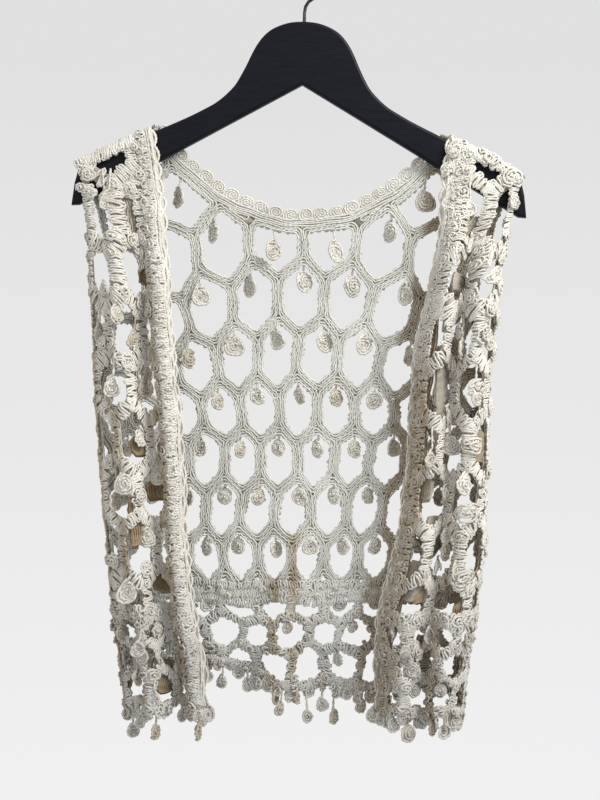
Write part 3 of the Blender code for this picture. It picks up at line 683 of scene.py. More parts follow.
class Cloth:
    """A panel's place function, and whether its (u, b) normal points out of the garment."""

    def __init__(self, place, out, seed, border):
        self.place, self.out, self.seed, self.border = place, out, seed, border

    def surface(self, u, b):
        """Points, the way across and outward normals, uneven as handmade nets and borders are."""
        slack = smooth((b - 190) / 40)
        loose = BORDER_SLACK * smooth((b - self.border) / 25)
        wander = 0.9 * np.sin(b / 11 + u / 23 + self.seed) + 0.5 * np.sin(b / 4.3 - u / 6.1)
        wander = wander + loose * np.sin(b / 9.5 + u / 13.1 + self.seed)
        sag = 0.8 * np.sin(u / 10 - b / 27 + self.seed) + 0.4 * np.sin(u / 4.7 + b / 5.9)
        sag = sag + loose * np.sin(u / 10.3 - b / 17)
        middle, across, normal = hung(self.place, u + wander * slack, b + sag * slack)
        return middle, across, normal * self.out


BACK_CLOTH = Cloth(back_point, -1, 0.4, BACK_END)


# Painted shade, kept on the meshes for the materials to read

def front_light(x, depth):
    """Painted light on the fronts, which lessens their painted shade and falls off downward."""
    upper = smooth((HIGH_LIGHT - depth) / 60)
    outer = smooth((x - 120) / 18) * smooth((600 - depth) / 80)
    return np.where(x > 0, 0.4 * np.maximum(upper, 0.85 * outer), 0.28 * smooth((440 - depth) / 90))


def front_shadow(x, depth):
    """Painted shadow that the right front lays on the back beside it."""
    below, edge, _ = np.array(FRONT_EDGES["right"], float).T
    return 0.9 * smooth((x - spline(depth, below, edge) + EDGE_SHADOW) / 9) * (depth > 185)


def fold_shadow(x, depth):
    """Painted shade in the back's folds."""
    shade = 0.0
    for centre, half, top, bottom in BACK_FOLD_SHADES:
        fold = np.exp(-(((x - centre) / half) ** 2))
        fold = fold * smooth((depth - top) / 30) * smooth((bottom - depth) / 15)
        shade = np.maximum(shade, 0.95 * fold)
    return shade


def shade_of(points, facing):
    """Painted shade, 0 to 1: how far from the light each point's cloth faces, seen from the front or
    the rear, with painted light and shadows added.
    """
    right, forward, up = unit(facing).reshape(-1, 3).T
    x, y, z = points.reshape(-1, 3).T
    lit = right * LIT_FROM[0] + np.abs(forward) * LIT_FROM[1] + up * LIT_FROM[2]
    lit = lit + front_light(x, -z) * (np.abs(x) > 60) * (y < 0)
    shade = np.maximum(smooth((SHADE_START - lit) / SHADE_RANGE), front_shadow(x, -z) * (y > 0))
    return np.maximum(shade, fold_shadow(x, -z))


class Strands:
    """Gathers tubes and patches for one mesh. The map runs round a tube and, in stitches, along it."""

    def __init__(self):
        self.points, self.quads, self.maps, self.shade, self.count = [], [], [], [], 0

    def add(self, points, quads, maps, facing):
        """facing: for each point, the way that the cloth there faces."""
        self.points.append(points.reshape(-1, 3))
        self.shade.append(shade_of(points, facing))
        self.quads.append(quads.reshape(-1, 4) + self.count)
        self.maps.append(maps.reshape(-1, 2))
        self.count += len(self.points[-1])

    def tubes(self, path, up, radius=STRAND, sides=4, closed=True):
        """path and up hold a batch of centrelines: (lines, rings, 3)."""
        lines, rings = path.shape[:2]
        if closed:
            along = np.roll(path, -1, axis=1) - np.roll(path, 1, axis=1)
        else:
            along = np.gradient(path, axis=1)
        side = unit(np.cross(along, up))
        above = unit(np.cross(side, along))
        turn = np.arange(sides) * 2 * math.pi / sides
        around = np.cos(turn)[:, None] * side[:, :, None] + np.sin(turn)[:, None] * above[:, :, None]
        radius = np.broadcast_to(np.asarray(radius, float), (lines, rings))
        points = path[:, :, None] + radius[:, :, None, None] * around
        spans = rings if closed else rings - 1
        ring, corner = np.meshgrid(np.arange(spans), np.arange(sides), indexing="ij")
        here, after = ring * sides, (ring + 1) % rings * sides
        beside = (corner + 1) % sides
        quad = np.stack([here + corner, after + corner, after + beside, here + beside], axis=-1)
        quads = quad[None] + (np.arange(lines) * rings * sides)[:, None, None, None]
        maps = np.empty((lines, spans, sides, 4, 2))
        maps[..., 0] = np.stack([corner, corner, corner + 1, corner + 1], axis=-1) / sides
        maps[..., 1] = np.stack([ring, ring + 1, ring + 1, ring], axis=-1) / 2
        self.add(points, quads, maps, np.broadcast_to(up[:, :, None], points.shape))

    def lay(self, cloth, u, b, lift, radius=STRAND, sides=4, closed=False, side=1):
        """A strand, or a batch of them, through (u, b), lift off the cloth; side -1 faces inward."""
        middle, _, normal = cloth.surface(u, b)
        path, up = middle + normal * lift[..., None], normal * side
        if path.ndim == 2:
            path, up = path[None], up[None]
        self.tubes(path, up, radius, sides, closed)

    def ribbon(self, rows):
        """A patch through a batch of point rows: (rows, points, 3)."""
        n, m = rows.shape[:2]
        i, j = np.meshgrid(np.arange(n - 1), np.arange(m - 1), indexing="ij")
        here, below = i * m + j, (i + 1) * m + j
        quads = np.stack([here, below, below + 1, here + 1], axis=-1)
        # a fixed place round a strand, which gives patches a little of the yarn's painted underside
        # shade
        maps = np.full((*quads.shape, 2), 0.4)
        facing = np.cross(np.gradient(rows, axis=0), np.gradient(rows, axis=1))
        self.add(rows, quads, maps, facing)

    def patch(self, cloth, columns, lift=0.0, turned=True):
        """A patch of cloth through columns of (u, b), lift off the panel's middle."""
        rows = []
        for u, b in columns:
            middle, _, normal = cloth.surface(u, b)
            rows.append(middle + normal * lift)
        rows = np.array(rows)
        self.ribbon(rows.transpose(1, 0, 2) if turned else rows)

    def piece(self, name, material):
        mesh = bpy.data.meshes.new(name)
        points = np.concatenate(self.points) * MM
        quads = np.concatenate(self.quads)
        mesh.from_pydata(points.tolist(), [], quads.tolist())
        layer = mesh.uv_layers.new(name="yarn")
        layer.data.foreach_set("uv", np.concatenate(self.maps).ravel())
        # the painted shade, for the materials to mix into the colour
        shade = mesh.attributes.new("shade", "FLOAT", "POINT")
        shade.data.foreach_set("value", np.concatenate(self.shade).astype(np.float32))
        mesh.polygons.foreach_set("use_smooth", np.ones(len(quads), bool))
        mesh.materials.append(material)
        obj = bpy.data.objects.new(name, mesh)
        bpy.context.scene.collection.objects.link(obj)
        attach(obj, "root")
        return obj

    def walled(self, name, material):
        """The piece as cloth with a thickness."""
        obj = self.piece(name, material)
        wall = obj.modifiers.new("wall", "SOLIDIFY")
        wall.thickness, wall.offset = WALL * MM, 0
        return obj


# Materials

def set_inputs(tree, node, inputs):
    """Links a node's inputs to other nodes' outputs, or sets them to numbers or colours."""
    for key, value in inputs.items():
        socket = node.inputs[key]
        if isinstance(value, bpy.types.NodeSocket):
            tree.links.new(value, socket)
        else:
            socket.default_value = (*value, 1) if socket.type == "RGBA" else value


def add_node(tree, kind, inputs, out=0, **settings):
    """The output of a new node."""
    node = tree.nodes.new("ShaderNode" + kind)
    for name, value in settings.items():
        setattr(node, name, value)
    set_inputs(tree, node, inputs)
    return node.outputs[out]


def maths(tree, operation, *values):
    return add_node(tree, "Math", dict(enumerate(values)), operation=operation)


def mixed(tree, factor, a, b, how="MIX"):
    return add_node(tree, "Mix", {0: factor, 6: a, 7: b}, 2, data_type="RGBA", blend_type=how)


def object_place(tree):
    return add_node(tree, "TexCoord", {}, "Object")


def noise(tree, scale, detail, vector=None):
    inputs = {"Scale": scale, "Detail": detail, "Vector": vector or object_place(tree)}
    return add_node(tree, "TexNoise", inputs, "Fac")


def ramp(tree, factor, stops):
    node = tree.nodes.new("ShaderNodeValToRGB")
    tree.links.new(factor, node.inputs["Fac"])
    points = node.color_ramp.elements
    while len(points) < len(stops):
        points.new(0.5)
    for point, (place, colour) in zip(points, stops):
        point.position, point.color = place, (*colour, 1)
    return node.outputs["Color"]


def bump(tree, height, strength, distance):
    inputs = {"Strength": strength, "Distance": distance, "Height": height}
    return add_node(tree, "Bump", inputs, "Normal")


# The painted shade that each mesh keeps.
def shade_attribute(tree):
    return add_node(tree, "Attribute", {}, "Fac", attribute_name="shade")


def lower_light(tree):
    """Painted shade: white above, greyer from the hem down, where less light reaches."""
    height = add_node(tree, "SeparateXYZ", {0: object_place(tree)}, "Z")
    low = maths(tree, "MULTIPLY_ADD", height, -8.0, -4.5)
    return ramp(tree, low, ((0.0, (1, 1, 1)), (1.0, LOW_LIGHT)))


def new_material(name):
    """A material, its node tree and its shader."""
    material = bpy.data.materials.new(name)
    material.use_nodes = True
    tree = material.node_tree
    return material, tree, tree.nodes["Principled BSDF"]


def yarn_material(name, light, dark, two_faced=False, most_shaded=0.68):
    """Plied cotton, with painted shade where it turns under or meets the next strand, between its
    stitches, where its cloth faces from the light and below the hem.

    The map's u runs round the strand, with its top at a quarter, and v counts stitches.
    """
    material, tree, shader = new_material(name)
    yarn = add_node(tree, "UVMap", {}, "UV", uv_map="yarn")
    around, along = (add_node(tree, "SeparateXYZ", {0: yarn}, axis) for axis in "XY")
    turn = maths(tree, "MULTIPLY", around, 2 * math.pi)
    # painted shade on the strand's underside; two-faced pieces have it at the edges of both faces
    if two_faced:
        under = maths(tree, "POWER", maths(tree, "COSINE", turn), 4.0)
        under = maths(tree, "MULTIPLY", under, 0.8)
    else:
        under = maths(tree, "MULTIPLY_ADD", maths(tree, "SINE", turn), -0.5, 0.5)
        under = maths(tree, "POWER", under, 1.8)
    twist = maths(tree, "ADD", around, along)
    slant = maths(tree, "MULTIPLY", twist, 2 * math.pi)
    dash = maths(tree, "MULTIPLY_ADD", maths(tree, "SINE", slant), 0.5, 0.5)
    # painted shade in the gaps between the stitches
    gap = maths(tree, "POWER", maths(tree, "SUBTRACT", 1.0, dash), 3.0)
    # painted shade, from the shade kept on the mesh, mottled by noise and mixed in as SHADED
    patchy = maths(tree, "MULTIPLY", noise(tree, 120, 2), 2.0)
    painted_shade = maths(tree, "MULTIPLY", shade_attribute(tree), most_shaded)
    painted_shade = maths(tree, "MINIMUM", maths(tree, "MULTIPLY", painted_shade, patchy), 0.95)
    colour = ramp(tree, noise(tree, 38, 3), ((0.35, dark), (0.62, light)))
    colour = mixed(tree, painted_shade, colour, SHADED)
    # painted shade below the hem
    colour = mixed(tree, 1.0, colour, lower_light(tree), "MULTIPLY")
    # painted shade between the stitches and under the strands
    colour = mixed(tree, maths(tree, "MULTIPLY", gap, STITCH_SHADE), colour, CREVICE_SHADE)
    colour = mixed(tree, maths(tree, "MULTIPLY", under, UNDER_SHADE), colour, CREVICE_SHADE)
    plies = maths(tree, "MULTIPLY", twist, 6 * math.pi)
    height = maths(tree, "MULTIPLY_ADD", noise(tree, 2600, 2), 0.6, dash)
    height = maths(tree, "MULTIPLY_ADD", maths(tree, "SINE", plies), 0.2, height)
    set_inputs(tree, shader, {
        "Base Color": colour, "Normal": bump(tree, height, 0.5, 0.0005), "Roughness": 0.85,
        "Specular IOR Level": 0.3, "Sheen Weight": 0.15, "Sheen Roughness": 0.5,
    })
    return material


def ground_material(name, light, deep):
    """The cloth between the strands, which stands for the shade between them, with painted brown shade
    where it faces away from the light.
    """
    material, tree, shader = new_material(name)
    colour = ramp(tree, noise(tree, 420, 3), ((0.38, deep), (0.68, light)))
    # painted shade where the cloth faces away from the light
    colour = mixed(tree, maths(tree, "MULTIPLY", shade_attribute(tree), 0.85), colour, SHADED_GROUND)
    set_inputs(tree, shader, {
        "Base Color": colour, "Normal": bump(tree, noise(tree, 900, 3), 0.6, 0.0006),
        "Roughness": 0.95, "Specular IOR Level": 0.15,
    })
    return material


def wood_material():
    """Black stain under satin lacquer, with fine grain along the arms and a few pale specks."""
    material, tree, shader = new_material("black_lacquered_wood")
    stretched = add_node(tree, "Mapping", {"Vector": object_place(tree), "Scale": (0.12, 1, 1)})
    grain = noise(tree, 420, 4, stretched)
    colour = ramp(tree, grain, ((0.3, (0.002, 0.0025, 0.005)), (0.75, (0.005, 0.006, 0.011))))
    specks = ramp(tree, noise(tree, 900, 2), ((0.72, (0, 0, 0)), (0.8, (0.5, 0.5, 0.5))))
    wear = {"Value": noise(tree, 60, 3), "To Min": 0.36, "To Max": 0.52}
    set_inputs(tree, shader, {
        "Base Color": mixed(tree, specks, colour, (0.12, 0.12, 0.13)),
        "Roughness": add_node(tree, "MapRange", wear, "Result"),
        "Normal": bump(tree, grain, 0.2, 0.0002), "Specular IOR Level": 0.14,
    })
    return material


def wire_material():
    material, tree, shader = new_material("black_hook_wire")
    worn = ramp(tree, noise(tree, 160, 3), ((0.45, (0.010, 0.010, 0.012)), (0.8, (0.03, 0.03, 0.034))))
    set_inputs(tree, shader, {
        "Base Color": worn, "Normal": bump(tree, noise(tree, 1400, 2), 0.15, 0.0001),
        "Roughness": 0.32, "Metallic": 0.5,
    })
    return material


# BRIGHT and DIM are lit and shaded copies of the ecru yarn: DIM, on the inner side, is darker as
# painted shade, and greyer. EDGE is BRIGHT with little painted shade, for the cord along the front
# edge.
BRIGHT = yarn_material("ecru_yarn_outside", (0.75, 0.737, 0.685), (0.64, 0.62, 0.565))
DIM = yarn_material("ecru_yarn_inside", (0.665, 0.67, 0.63), (0.56, 0.56, 0.515))
EDGE = yarn_material("ecru_yarn_edge", (0.75, 0.737, 0.685), (0.64, 0.62, 0.565), False, 0.1)
COIL = yarn_material("ecru_yarn_coils", (0.73, 0.715, 0.66), (0.61, 0.59, 0.53), True, 0.5)
# The grounds are darker than the yarn: painted shade between the strands.
GROUND = ground_material("ecru_ground", (0.46, 0.43, 0.36), (0.32, 0.285, 0.22))
BAND_GROUND = ground_material("ecru_ground_band", (0.62, 0.6, 0.53), (0.5, 0.47, 0.4))
SHADE_CLOTH = (  # painted shade: dark cloth put behind the gaps, its ground and its strands
    ground_material("shade_cloth_ground", (0.245, 0.17, 0.095), (0.18, 0.125, 0.065)),
    yarn_material("shade_cloth_yarn", (0.35, 0.265, 0.165), (0.26, 0.19, 0.11), False, 0.3),
)
# Greyer, darker cloth and its strands: painted shade of the cloth behind, seen through the gaps.
SHADE_BEHIND = (
    ground_material("ecru_ground_shade_behind", (0.34, 0.315, 0.26), (0.25, 0.225, 0.18)),
    yarn_material("ecru_yarn_shade_behind", (0.43, 0.4, 0.33), (0.33, 0.3, 0.24), False, 0.3),
)


# Strands and stitches

def evenly(loop, step, least=8):
    """A closed outline resampled at about step."""
    loop = np.asarray(loop, float)
    closed = np.concatenate([loop, loop[:1]])
    arc = arc_lengths(closed)
    at = np.arange(2 * max(least // 2, round(arc[-1] / step / 2)))
    return along_line(at * arc[-1] / len(at), arc, closed)


def rounded(loop, reach):
    """A closed outline with its corners rounded over reach, in points at 1 mm."""
    reach = min(int(round(reach)), len(loop) // 6)
    shifts = range(-reach, reach + 1)
    weights = [1 + math.cos(math.pi * s / (reach + 1)) for s in shifts]
    total = sum(np.roll(loop, s, axis=0) * w for s, w in zip(shifts, weights))
    return total / sum(weights)


def moved_in(shape, distance):
    """A cell's outline moved in by distance and rounded, or None where it would close up."""
    for least in (4, 9, 14):
        moved = inset(without_short_edges(shape, least), distance)
        if moved:
            return rounded(evenly(moved, 1.0), 2 + 1.3 * distance)
    if thickness(shape) < 2.6 * distance:
        return None
    middle = np.mean(shape, axis=0)
    shrunk = middle + (np.array(shape) - middle) * (1 - 1.25 * distance / thickness(shape))
    return rounded(evenly(shrunk, 1.0), 2 + 1.3 * distance)


def beats(count):
    """-1 and 1 by turns, for the stitches along a strand."""
    return np.where(np.arange(count) % 2, 1.0, -1.0)


def cell_strands(strands, cloth, shape, bar, places, step):
    """Strands that run round a cell on the inner side, one inside the other.

    They fill it where it has no gap.
    """
    open_cell = moved_in(shape, bar) is not None
    if not open_cell:
        places = np.arange(places[0], 30, 2 * STRAND)
    for place in places:
        loop = None if open_cell and place > bar else moved_in(shape, place)
        if loop is None:
            break
        loop = evenly(loop, step)
        beat = beats(len(loop))
        way = unit(np.roll(loop, -1, axis=0) - np.roll(loop, 1, axis=0))
        sway = 0.28 * beat + DICE.normal(0, 0.25, len(loop))
        u, b = (loop + np.stack([way[:, 1], -way[:, 0]], axis=-1) * sway[:, None]).T
        lift = INSIDE + 0.3 * beat + 0.35 * np.sin(np.arange(len(loop)) / 7 + 5 * place)
        strands.lay(cloth, u, b, lift, STRAND * (1 + 0.2 * beat), closed=True, side=-1)


def net_edges(shapes):
    """Each side of the cells once: its ends, and the cell's middle if only one cell has it."""
    found = {}
    for shape in shapes:
        for i, point in enumerate(shape):
            before = shape[i - 1]
            key = frozenset(tuple(np.round(np.array(p) / 0.4).astype(int)) for p in (before, point))
            found.setdefault(key, []).append((before, point, np.mean(shape, axis=0)))
    for sides in found.values():
        start, end, middle = sides[0]
        yield np.array(start), np.array(end), middle if len(sides) == 1 else None


RIDGE_SHAPE = np.array(  # a stitch's loop: across the bar in half widths, along it in half loops
    [(-0.8, -1.2), (-0.3, -0.75), (0.3, -0.75), (0.8, -1.2), (1, 0), (0.8, 1.2), (0.3, 0.75),
     (-0.3, 0.75), (-0.8, 1.2), (-1, 0)]
)


FULLER = {  # how much wider bars are at depth b; the right front is nearly closed at the shoulder
    "even": lambda b: 0.0,
    "left": lambda b: 2.2 * smooth((430 - b) / 60),
    "right": lambda b: 4.2 * smooth((b - 262) / 20) * smooth((372 - b) / 26),
    "back border": lambda b: -1.1,
}


def ridges(strands, cloth, shapes, half, lift, pitch, spread, fuller=FULLER["even"], sides=4):
    """Stitches worked across every bar of a net, each a long loop from one gap to the next."""
    centres, ways, spans = [], [], []
    for start, end, inner in net_edges(shapes):
        length = np.linalg.norm(end - start)
        if length < 2.5:
            continue
        way = (end - start) / length
        across = np.array([-way[1], way[0]])
        full = half + fuller((start[1] + end[1]) / 2)
        shift, reach = 0.0, full
        if inner is not None:
            shift, reach = np.sign((inner - start) @ across) * full * 0.52, full * 0.55
        count = max(1, round(length / pitch))
        for i in range(count):
            at = start + way * length * (i + 0.5 + DICE.normal(0, 0.05)) / count + across * shift
            lean = DICE.normal(0.16 if i % 2 else -0.16, spread)
            ways.append(math.cos(lean) * across + math.sin(lean) * way)
            centres.append(at)
            spans.append(reach * DICE.uniform(0.82, 1.16))
    stitch_loops(strands, cloth, np.array(centres), np.array(ways), np.array(spans), lift, sides)


def stitch_loops(strands, cloth, centres, ways, spans, lift, sides=4):
    """Long loops laid on the cloth at centres, along ways for spans to each side."""
    across, along = RIDGE_SHAPE.T
    beside = np.stack([-ways[:, 1], ways[:, 0]], axis=-1)
    flat = centres[:, None] + ways[:, None] * (spans[:, None] * across)[..., None]
    bend = DICE.normal(0, 0.7, (len(centres), 1)) * (1 - across**2)
    flat = flat + beside[:, None] * (RIDGE_HALF * along + bend)[..., None]
    side = math.copysign(1, lift)
    height = lift + side * RIDGE_ARCH * (1 - across**2)
    height = height[None] + DICE.normal(0, 0.15, (len(centres), 1))
    strands.lay(cloth, flat[..., 0], flat[..., 1], height, RIDGE_STRAND, sides, True, side)


def lay_columns(strands, cloth, columns, lift):
    """Strands side by side on both sides of the dark cloth of painted shade, each along its column of
    (u, b).
    """
    for side in (1, -1):
        for u, b in columns:
            beat = beats(len(b))
            off = lift + 0.8 * side + 0.25 * beat
            strands.lay(cloth, u + 0.3 * beat, b, off, COLUMN_STRAND * (1 + 0.15 * beat), 3, side=side)


def spiral(turns, rings):
    """Places on a unit disc, coiled from its middle out to its top."""
    reach = np.linspace(0.02, 1, rings) ** 0.62
    angle = -math.pi / 2 + 2 * math.pi * turns * (reach - 1)
    return reach * np.cos(angle), reach * np.sin(angle), reach


def lay_coil(strands, cloth, u, b, size, lift, coil=2.1, rings=24, way=0.0):
    """A flat coil on the cloth, turned by way in its plane."""
    x, y, reach = spiral(coil, rings)
    x, y = x * math.cos(way) - y * math.sin(way), x * math.sin(way) + y * math.cos(way)
    stray_x, stray_y, puff = DICE.normal(0, 1, (3, rings))
    side = math.copysign(1, lift)
    rise = lift + side * 1.2 * (1 - reach**2) + 0.4 * puff
    u, b = u + size * x + 0.45 * stray_x, b + size * y + 0.45 * stray_y
    strands.lay(cloth, u, b, rise, COIL_STRAND, side=side)


# Drops

def drop_turn(cloth, u, b, k, j):
    """How far a cell's drop is turned: unevenly, but flat where it lies against the hanger."""
    x = float(cloth.place(u, b)[0])
    if b - float(arm_below(x)) < 50:
        return 0.0
    return DROP_TURN * math.sin(2.3 * k + 4.1 * j)


def top_edge(shape, u):
    """The b of an outline's upper edge at u, or None."""
    found = []
    for i, (u1, b1) in enumerate(shape):
        u0, b0 = shape[i - 1]
        if min(u0, u1) <= u <= max(u0, u1) and u0 != u1:
            found.append(blend(b0, b1, (u - u0) / (u1 - u0)))
    return min(found) if found else None


def hang_drops(strands, roots, turns, sizes, stem=9.5, radius=10.2, coil=4.0, rings=80):
    """Crocheted discs on short chains below roots, each turned about its chain."""
    roots, turns, sizes = (np.asarray(v, float) for v in (roots, turns, sizes))
    count = len(roots)
    spin = turns + DICE.normal(0, 0.12, count)
    across = np.stack([np.cos(spin), np.sin(spin), 0 * spin], axis=-1)
    down = unit(np.array([0, 0, -1]) + across * DICE.normal(0, 0.1, count)[:, None])
    face = unit(np.cross(across, down))
    wide = radius * sizes * DICE.uniform(0.8, 1.04, count)
    tall = radius * sizes * DICE.uniform(1.0, 1.16, count)
    centre = roots + down * (stem * sizes + tall)[:, None]
    cup = DICE.choice([-1, 1], count) * DICE.uniform(0.6, 3.4, count)

    def placed(x, y, rise):
        """Points at (x, y) in half widths and half heights of the discs, rise off their faces."""
        flat = centre[:, None] + across[:, None] * (wide[:, None] * x)[..., None]
        flat = flat + down[:, None] * (tall[:, None] * y)[..., None]
        return flat + face[:, None] * rise[..., None]

    def lay(path, radius):
        strands.tubes(path, np.broadcast_to(face[:, None], path.shape), radius, closed=False)

    x, y, reach = spiral(coil, rings)
    x = x * (1 + DROP_TAPER * np.clip(y, -1, 1))
    puff = DICE.normal(0, 0.75, (count, rings))
    lump = 1 + DICE.normal(0, 0.06, (count, rings)) * np.minimum(1, 3 * (1 - reach))
    lump = lump + 0.05 * np.sin(3 * np.arctan2(y, x) + 6 * turns[:, None])
    path = placed(lump * x, lump * y, cup[:, None] * reach**2 + puff)
    lay(path, DROP_STRAND * (1 + 0.14 * beats(rings)))
    share = np.linspace(0, 1, CHAIN_RINGS)[:, None]
    chain = blend(path[:, -1:], (roots + np.array([0, 0, 2.0]))[:, None], share)
    lay(chain, 1.15 + 0.3 * beats(CHAIN_RINGS))
    angle = np.linspace(0, 2 * math.pi, 13)
    x, y = np.cos(angle) * (1 + DROP_TAPER * np.sin(angle)), np.sin(angle)
    rims = [placed(share * x, share * y, cup[:, None] * share**2) for share in (0.05, 0.5, 0.92)]
    for rows in np.stack(rims, axis=1):
        strands.ribbon(rows)


# Pieces

def matched(loop, outer):
    """As many points on loop as outer has, each near its partner."""
    middle = loop.mean(axis=0)
    way = np.arctan2(*(outer - middle).T)
    mine = np.arctan2(*(loop - middle).T)
    nearest = [np.argmin(np.abs(np.angle(np.exp(1j * (mine - w))))) for w in way]
    return loop[nearest]


def flat_size(shapes):
    """Width and length in metres of the rectangle that the flat cloth was worked within."""
    u, b = np.concatenate([np.array(shape) for shape in shapes]).T
    return np.ptp(u) * MM, np.ptp(b) * MM


def seen_first(places, x):
    """Which of these places the viewer sees at x."""
    return np.argmin(np.abs(places[:, 0] - x) + 0.25 * places[:, 1])


class Dress:
    """What a panel of net is dressed in: its pieces, named after it.

    Its bars are bar wide to each side, and fuller says how much wider at a depth. A front also has
    width, its flat width at a depth.
    """

    def __init__(self, name, cloth, cells, bar, fuller=FULLER["even"], width=None):
        self.name, self.cloth, self.cells = name, cloth, list(cells)
        self.shapes = [shape for _, _, _, shape in self.cells]
        self.bar, self.fuller, self.width = bar, fuller, width
        self.worn = []

    def bar_of(self, shape):
        return self.bar + self.fuller(np.mean([p[1] for p in shape]))

    def seen_at(self, x, b):
        """Where across a front, at depth b, the viewer sees x."""
        u = np.linspace(1, self.width(b) - 1, 200)
        return u[seen_first(self.cloth.place(u, b), x)]

    def wear(self, part, strands, material, make=Strands.piece):
        self.worn.append(make(strands, self.name + "_" + part, material))

    def inside(self, places, step=STRAND_STEP):
        """Long strands round the cells, on the inner side."""
        strands = Strands()
        for shape in self.shapes:
            cell_strands(strands, self.cloth, shape, self.bar_of(shape), places, step)
        self.wear("inside", strands, DIM)

    def outside(self, half, pitch=RIDGE_PITCH, sides=4):
        """Stitches across the bars, on the outer side."""
        strands = Strands()
        ridges(strands, self.cloth, self.shapes, half, OUTSIDE, pitch, 0.12, self.fuller, sides)
        self.wear("outside", strands, BRIGHT)

    def lace(self, half, material):
        """A border's stitches, which lie every way on both of its sides."""
        for part, lift in (("inside", INSIDE), ("outside", OUTSIDE)):
            strands = Strands()
            hidden = (lift > 0) == (self.name == "hem_back")
            pitch = BORDER_PITCH_ACROSS * (HIDDEN_PITCH if hidden else 1)
            ridges(strands, self.cloth, self.shapes, half, lift, pitch, 0.5)
            self.wear(part, strands, material)

    def drops(self, rows):
        """A drop in each of the larger cells of a net with these rows."""
        roots, turns, sizes = [], [], []
        for k, j, middle, shape in self.cells:
            top = top_edge(shape, middle)
            if abs(area(shape)) < LEAST_WITH_DROP or top is None:
                continue
            b = top + self.bar * 1.15
            point, across, _ = self.cloth.surface(np.array(middle), np.array(b))
            if b - float(seam_below(point[0])) < 16:
                continue
            roots.append(point)
            turns.append(math.atan2(across[1], across[0]) + drop_turn(self.cloth, middle, b, k, j))
            sizes.append(min(1.0, rows[k][2] / 46))
        strands = Strands()
        hang_drops(strands, roots, np.clip(turns, -MOST_TURNED, MOST_TURNED), sizes)
        self.wear("drops", strands, COIL)

    def hang_at(self, spots):
        """Drops seen at spots (x, b, size, turn), each from the bar above its place."""
        strands = Strands()
        for x, b, size, turn in spots:
            u = self.seen_at(x, b)
            tops = [top_edge(shape, u) for shape in self.shapes]
            tops = [top + 1.15 * self.bar for top in tops if top is not None]
            above = [top for top in tops if top < b - size + 3]
            if not above:
                continue
            u = self.seen_at(x, max(above))
            root = self.cloth.surface(np.array(u), np.array(max(above)))[0] + (0, -4, 0)
            stem = np.clip(b - 1.08 * size - max(above), 1, 20)
            hang_drops(strands, [root], [turn], [1.0], stem, size, 4.0, 70)
        self.wear("drops", strands, COIL)

    def discs(self, share):
        """Discs in a share of a border's gaps, on short stems."""
        strands = Strands()
        for _, _, middle, shape in self.cells:
            top = top_edge(shape, middle)
            if top is None or abs(area(shape)) < LEAST_WITH_DISC or DICE.random() > share:
                continue
            point, across, _ = self.cloth.surface(np.array(middle), np.array(top + self.bar))
            turn = math.atan2(across[1], across[0]) + DICE.normal(0, 0.45)
            stem, radius = DICE.uniform(0, 3), DICE.uniform(5.5, 7.6)
            hang_drops(strands, [point], [turn], [1.0], stem, radius, 3.0, 44)
        self.wear("discs", strands, COIL)

    def knots(self, share, low, high):
        """Coils on a share of the net's joints, on either side of the cloth."""
        strands, joints = Strands(), {}
        for shape in self.shapes:
            for u, b in shape:
                joints[round(u / 3), round(b / 3)] = u, b
        for u, b in joints.values():
            size, way = DICE.uniform(low, high), DICE.uniform(0, 2 * math.pi)
            lift = (OUTSIDE + 1) * DICE.choice([-1, 1])
            off_u, off_b = DICE.normal(0, 1, 2)
            if DICE.random() < share:
                lay_coil(strands, self.cloth, u + off_u, b + off_b, size, lift, way=way)
        self.wear("knots", strands, COIL)

    def lumps(self, spots):
        """Rosettes at (x, b, size) on the cloth nearest the viewer."""
        strands = Strands()
        for x, b, size in spots:
            u = self.seen_at(x, b)
            for turn, share in ((0.0, 1.0), (2.2, 0.8), (4.1, 0.75)):
                off = 0.0 if share == 1 else 0.55 * size
                at_u, at_b = u + off * math.cos(turn + x), b + off * math.sin(turn + x)
                rise = OUTSIDE + 1.2 + 1.6 * share
                lay_coil(strands, self.cloth, at_u, at_b, size * share, rise, 2.4, 28, turn)
        self.wear("lumps", strands, COIL)

    def sprinkle(self, every):
        """Small curls along the bars, in no order."""
        strands = Strands()
        for start, end, _ in net_edges(self.shapes):
            for _ in range(round(np.linalg.norm(end - start) / every)):
                u, b = blend(start, end, DICE.random()) + DICE.uniform(-3, 3, 2)
                size, way = DICE.uniform(2.6, 4.6), DICE.uniform(0, 6.3)
                lift = (OUTSIDE + 1.8) * DICE.choice([-1, 1])
                lay_coil(strands, self.cloth, u, b, size, lift, 1.2, 12, way)
        self.wear("curls", strands, COIL)

    def rows(self, part, lines, span, material, near=INSIDE):
        """Rows of stitches along lines of (u, b), each stitch reaching span up and down.

        They lie closest on the near side, which the viewer sees.
        """
        strands = Strands()
        for line in lines:
            arc = arc_lengths(line)
            at = np.arange(ROW_PITCH / 2, arc[-1], ROW_PITCH)
            at = at + DICE.normal(0, 0.12 * ROW_PITCH, len(at))
            centres = along_line(at, arc, line)
            lean = DICE.normal(0, 0.3, len(at))
            ways = np.stack([np.sin(lean), np.cos(lean)], axis=-1)
            spans = span * DICE.uniform(0.8, 1.15, len(at))
            lift = near + math.copysign(0.6, near)
            stitch_loops(strands, self.cloth, centres, ways, spans, lift)
            stitch_loops(strands, self.cloth, centres[::2], ways[::2], spans[::2], -lift)
        self.wear(part, strands, material)

    def patches(self, part, spots, materials):
        """Dark cloth of painted shade behind the gaps at spots (x, b, far x, far b), under strands of
        its own.
        """
        ground, strands = Strands(), Strands()
        for x, b, far_x, far_b in spots:
            ends = [self.seen_at(at, (b + far_b) / 2) for at in (x, far_x)]
            left, right = min(ends), min(max(ends), min(ends) + 36)

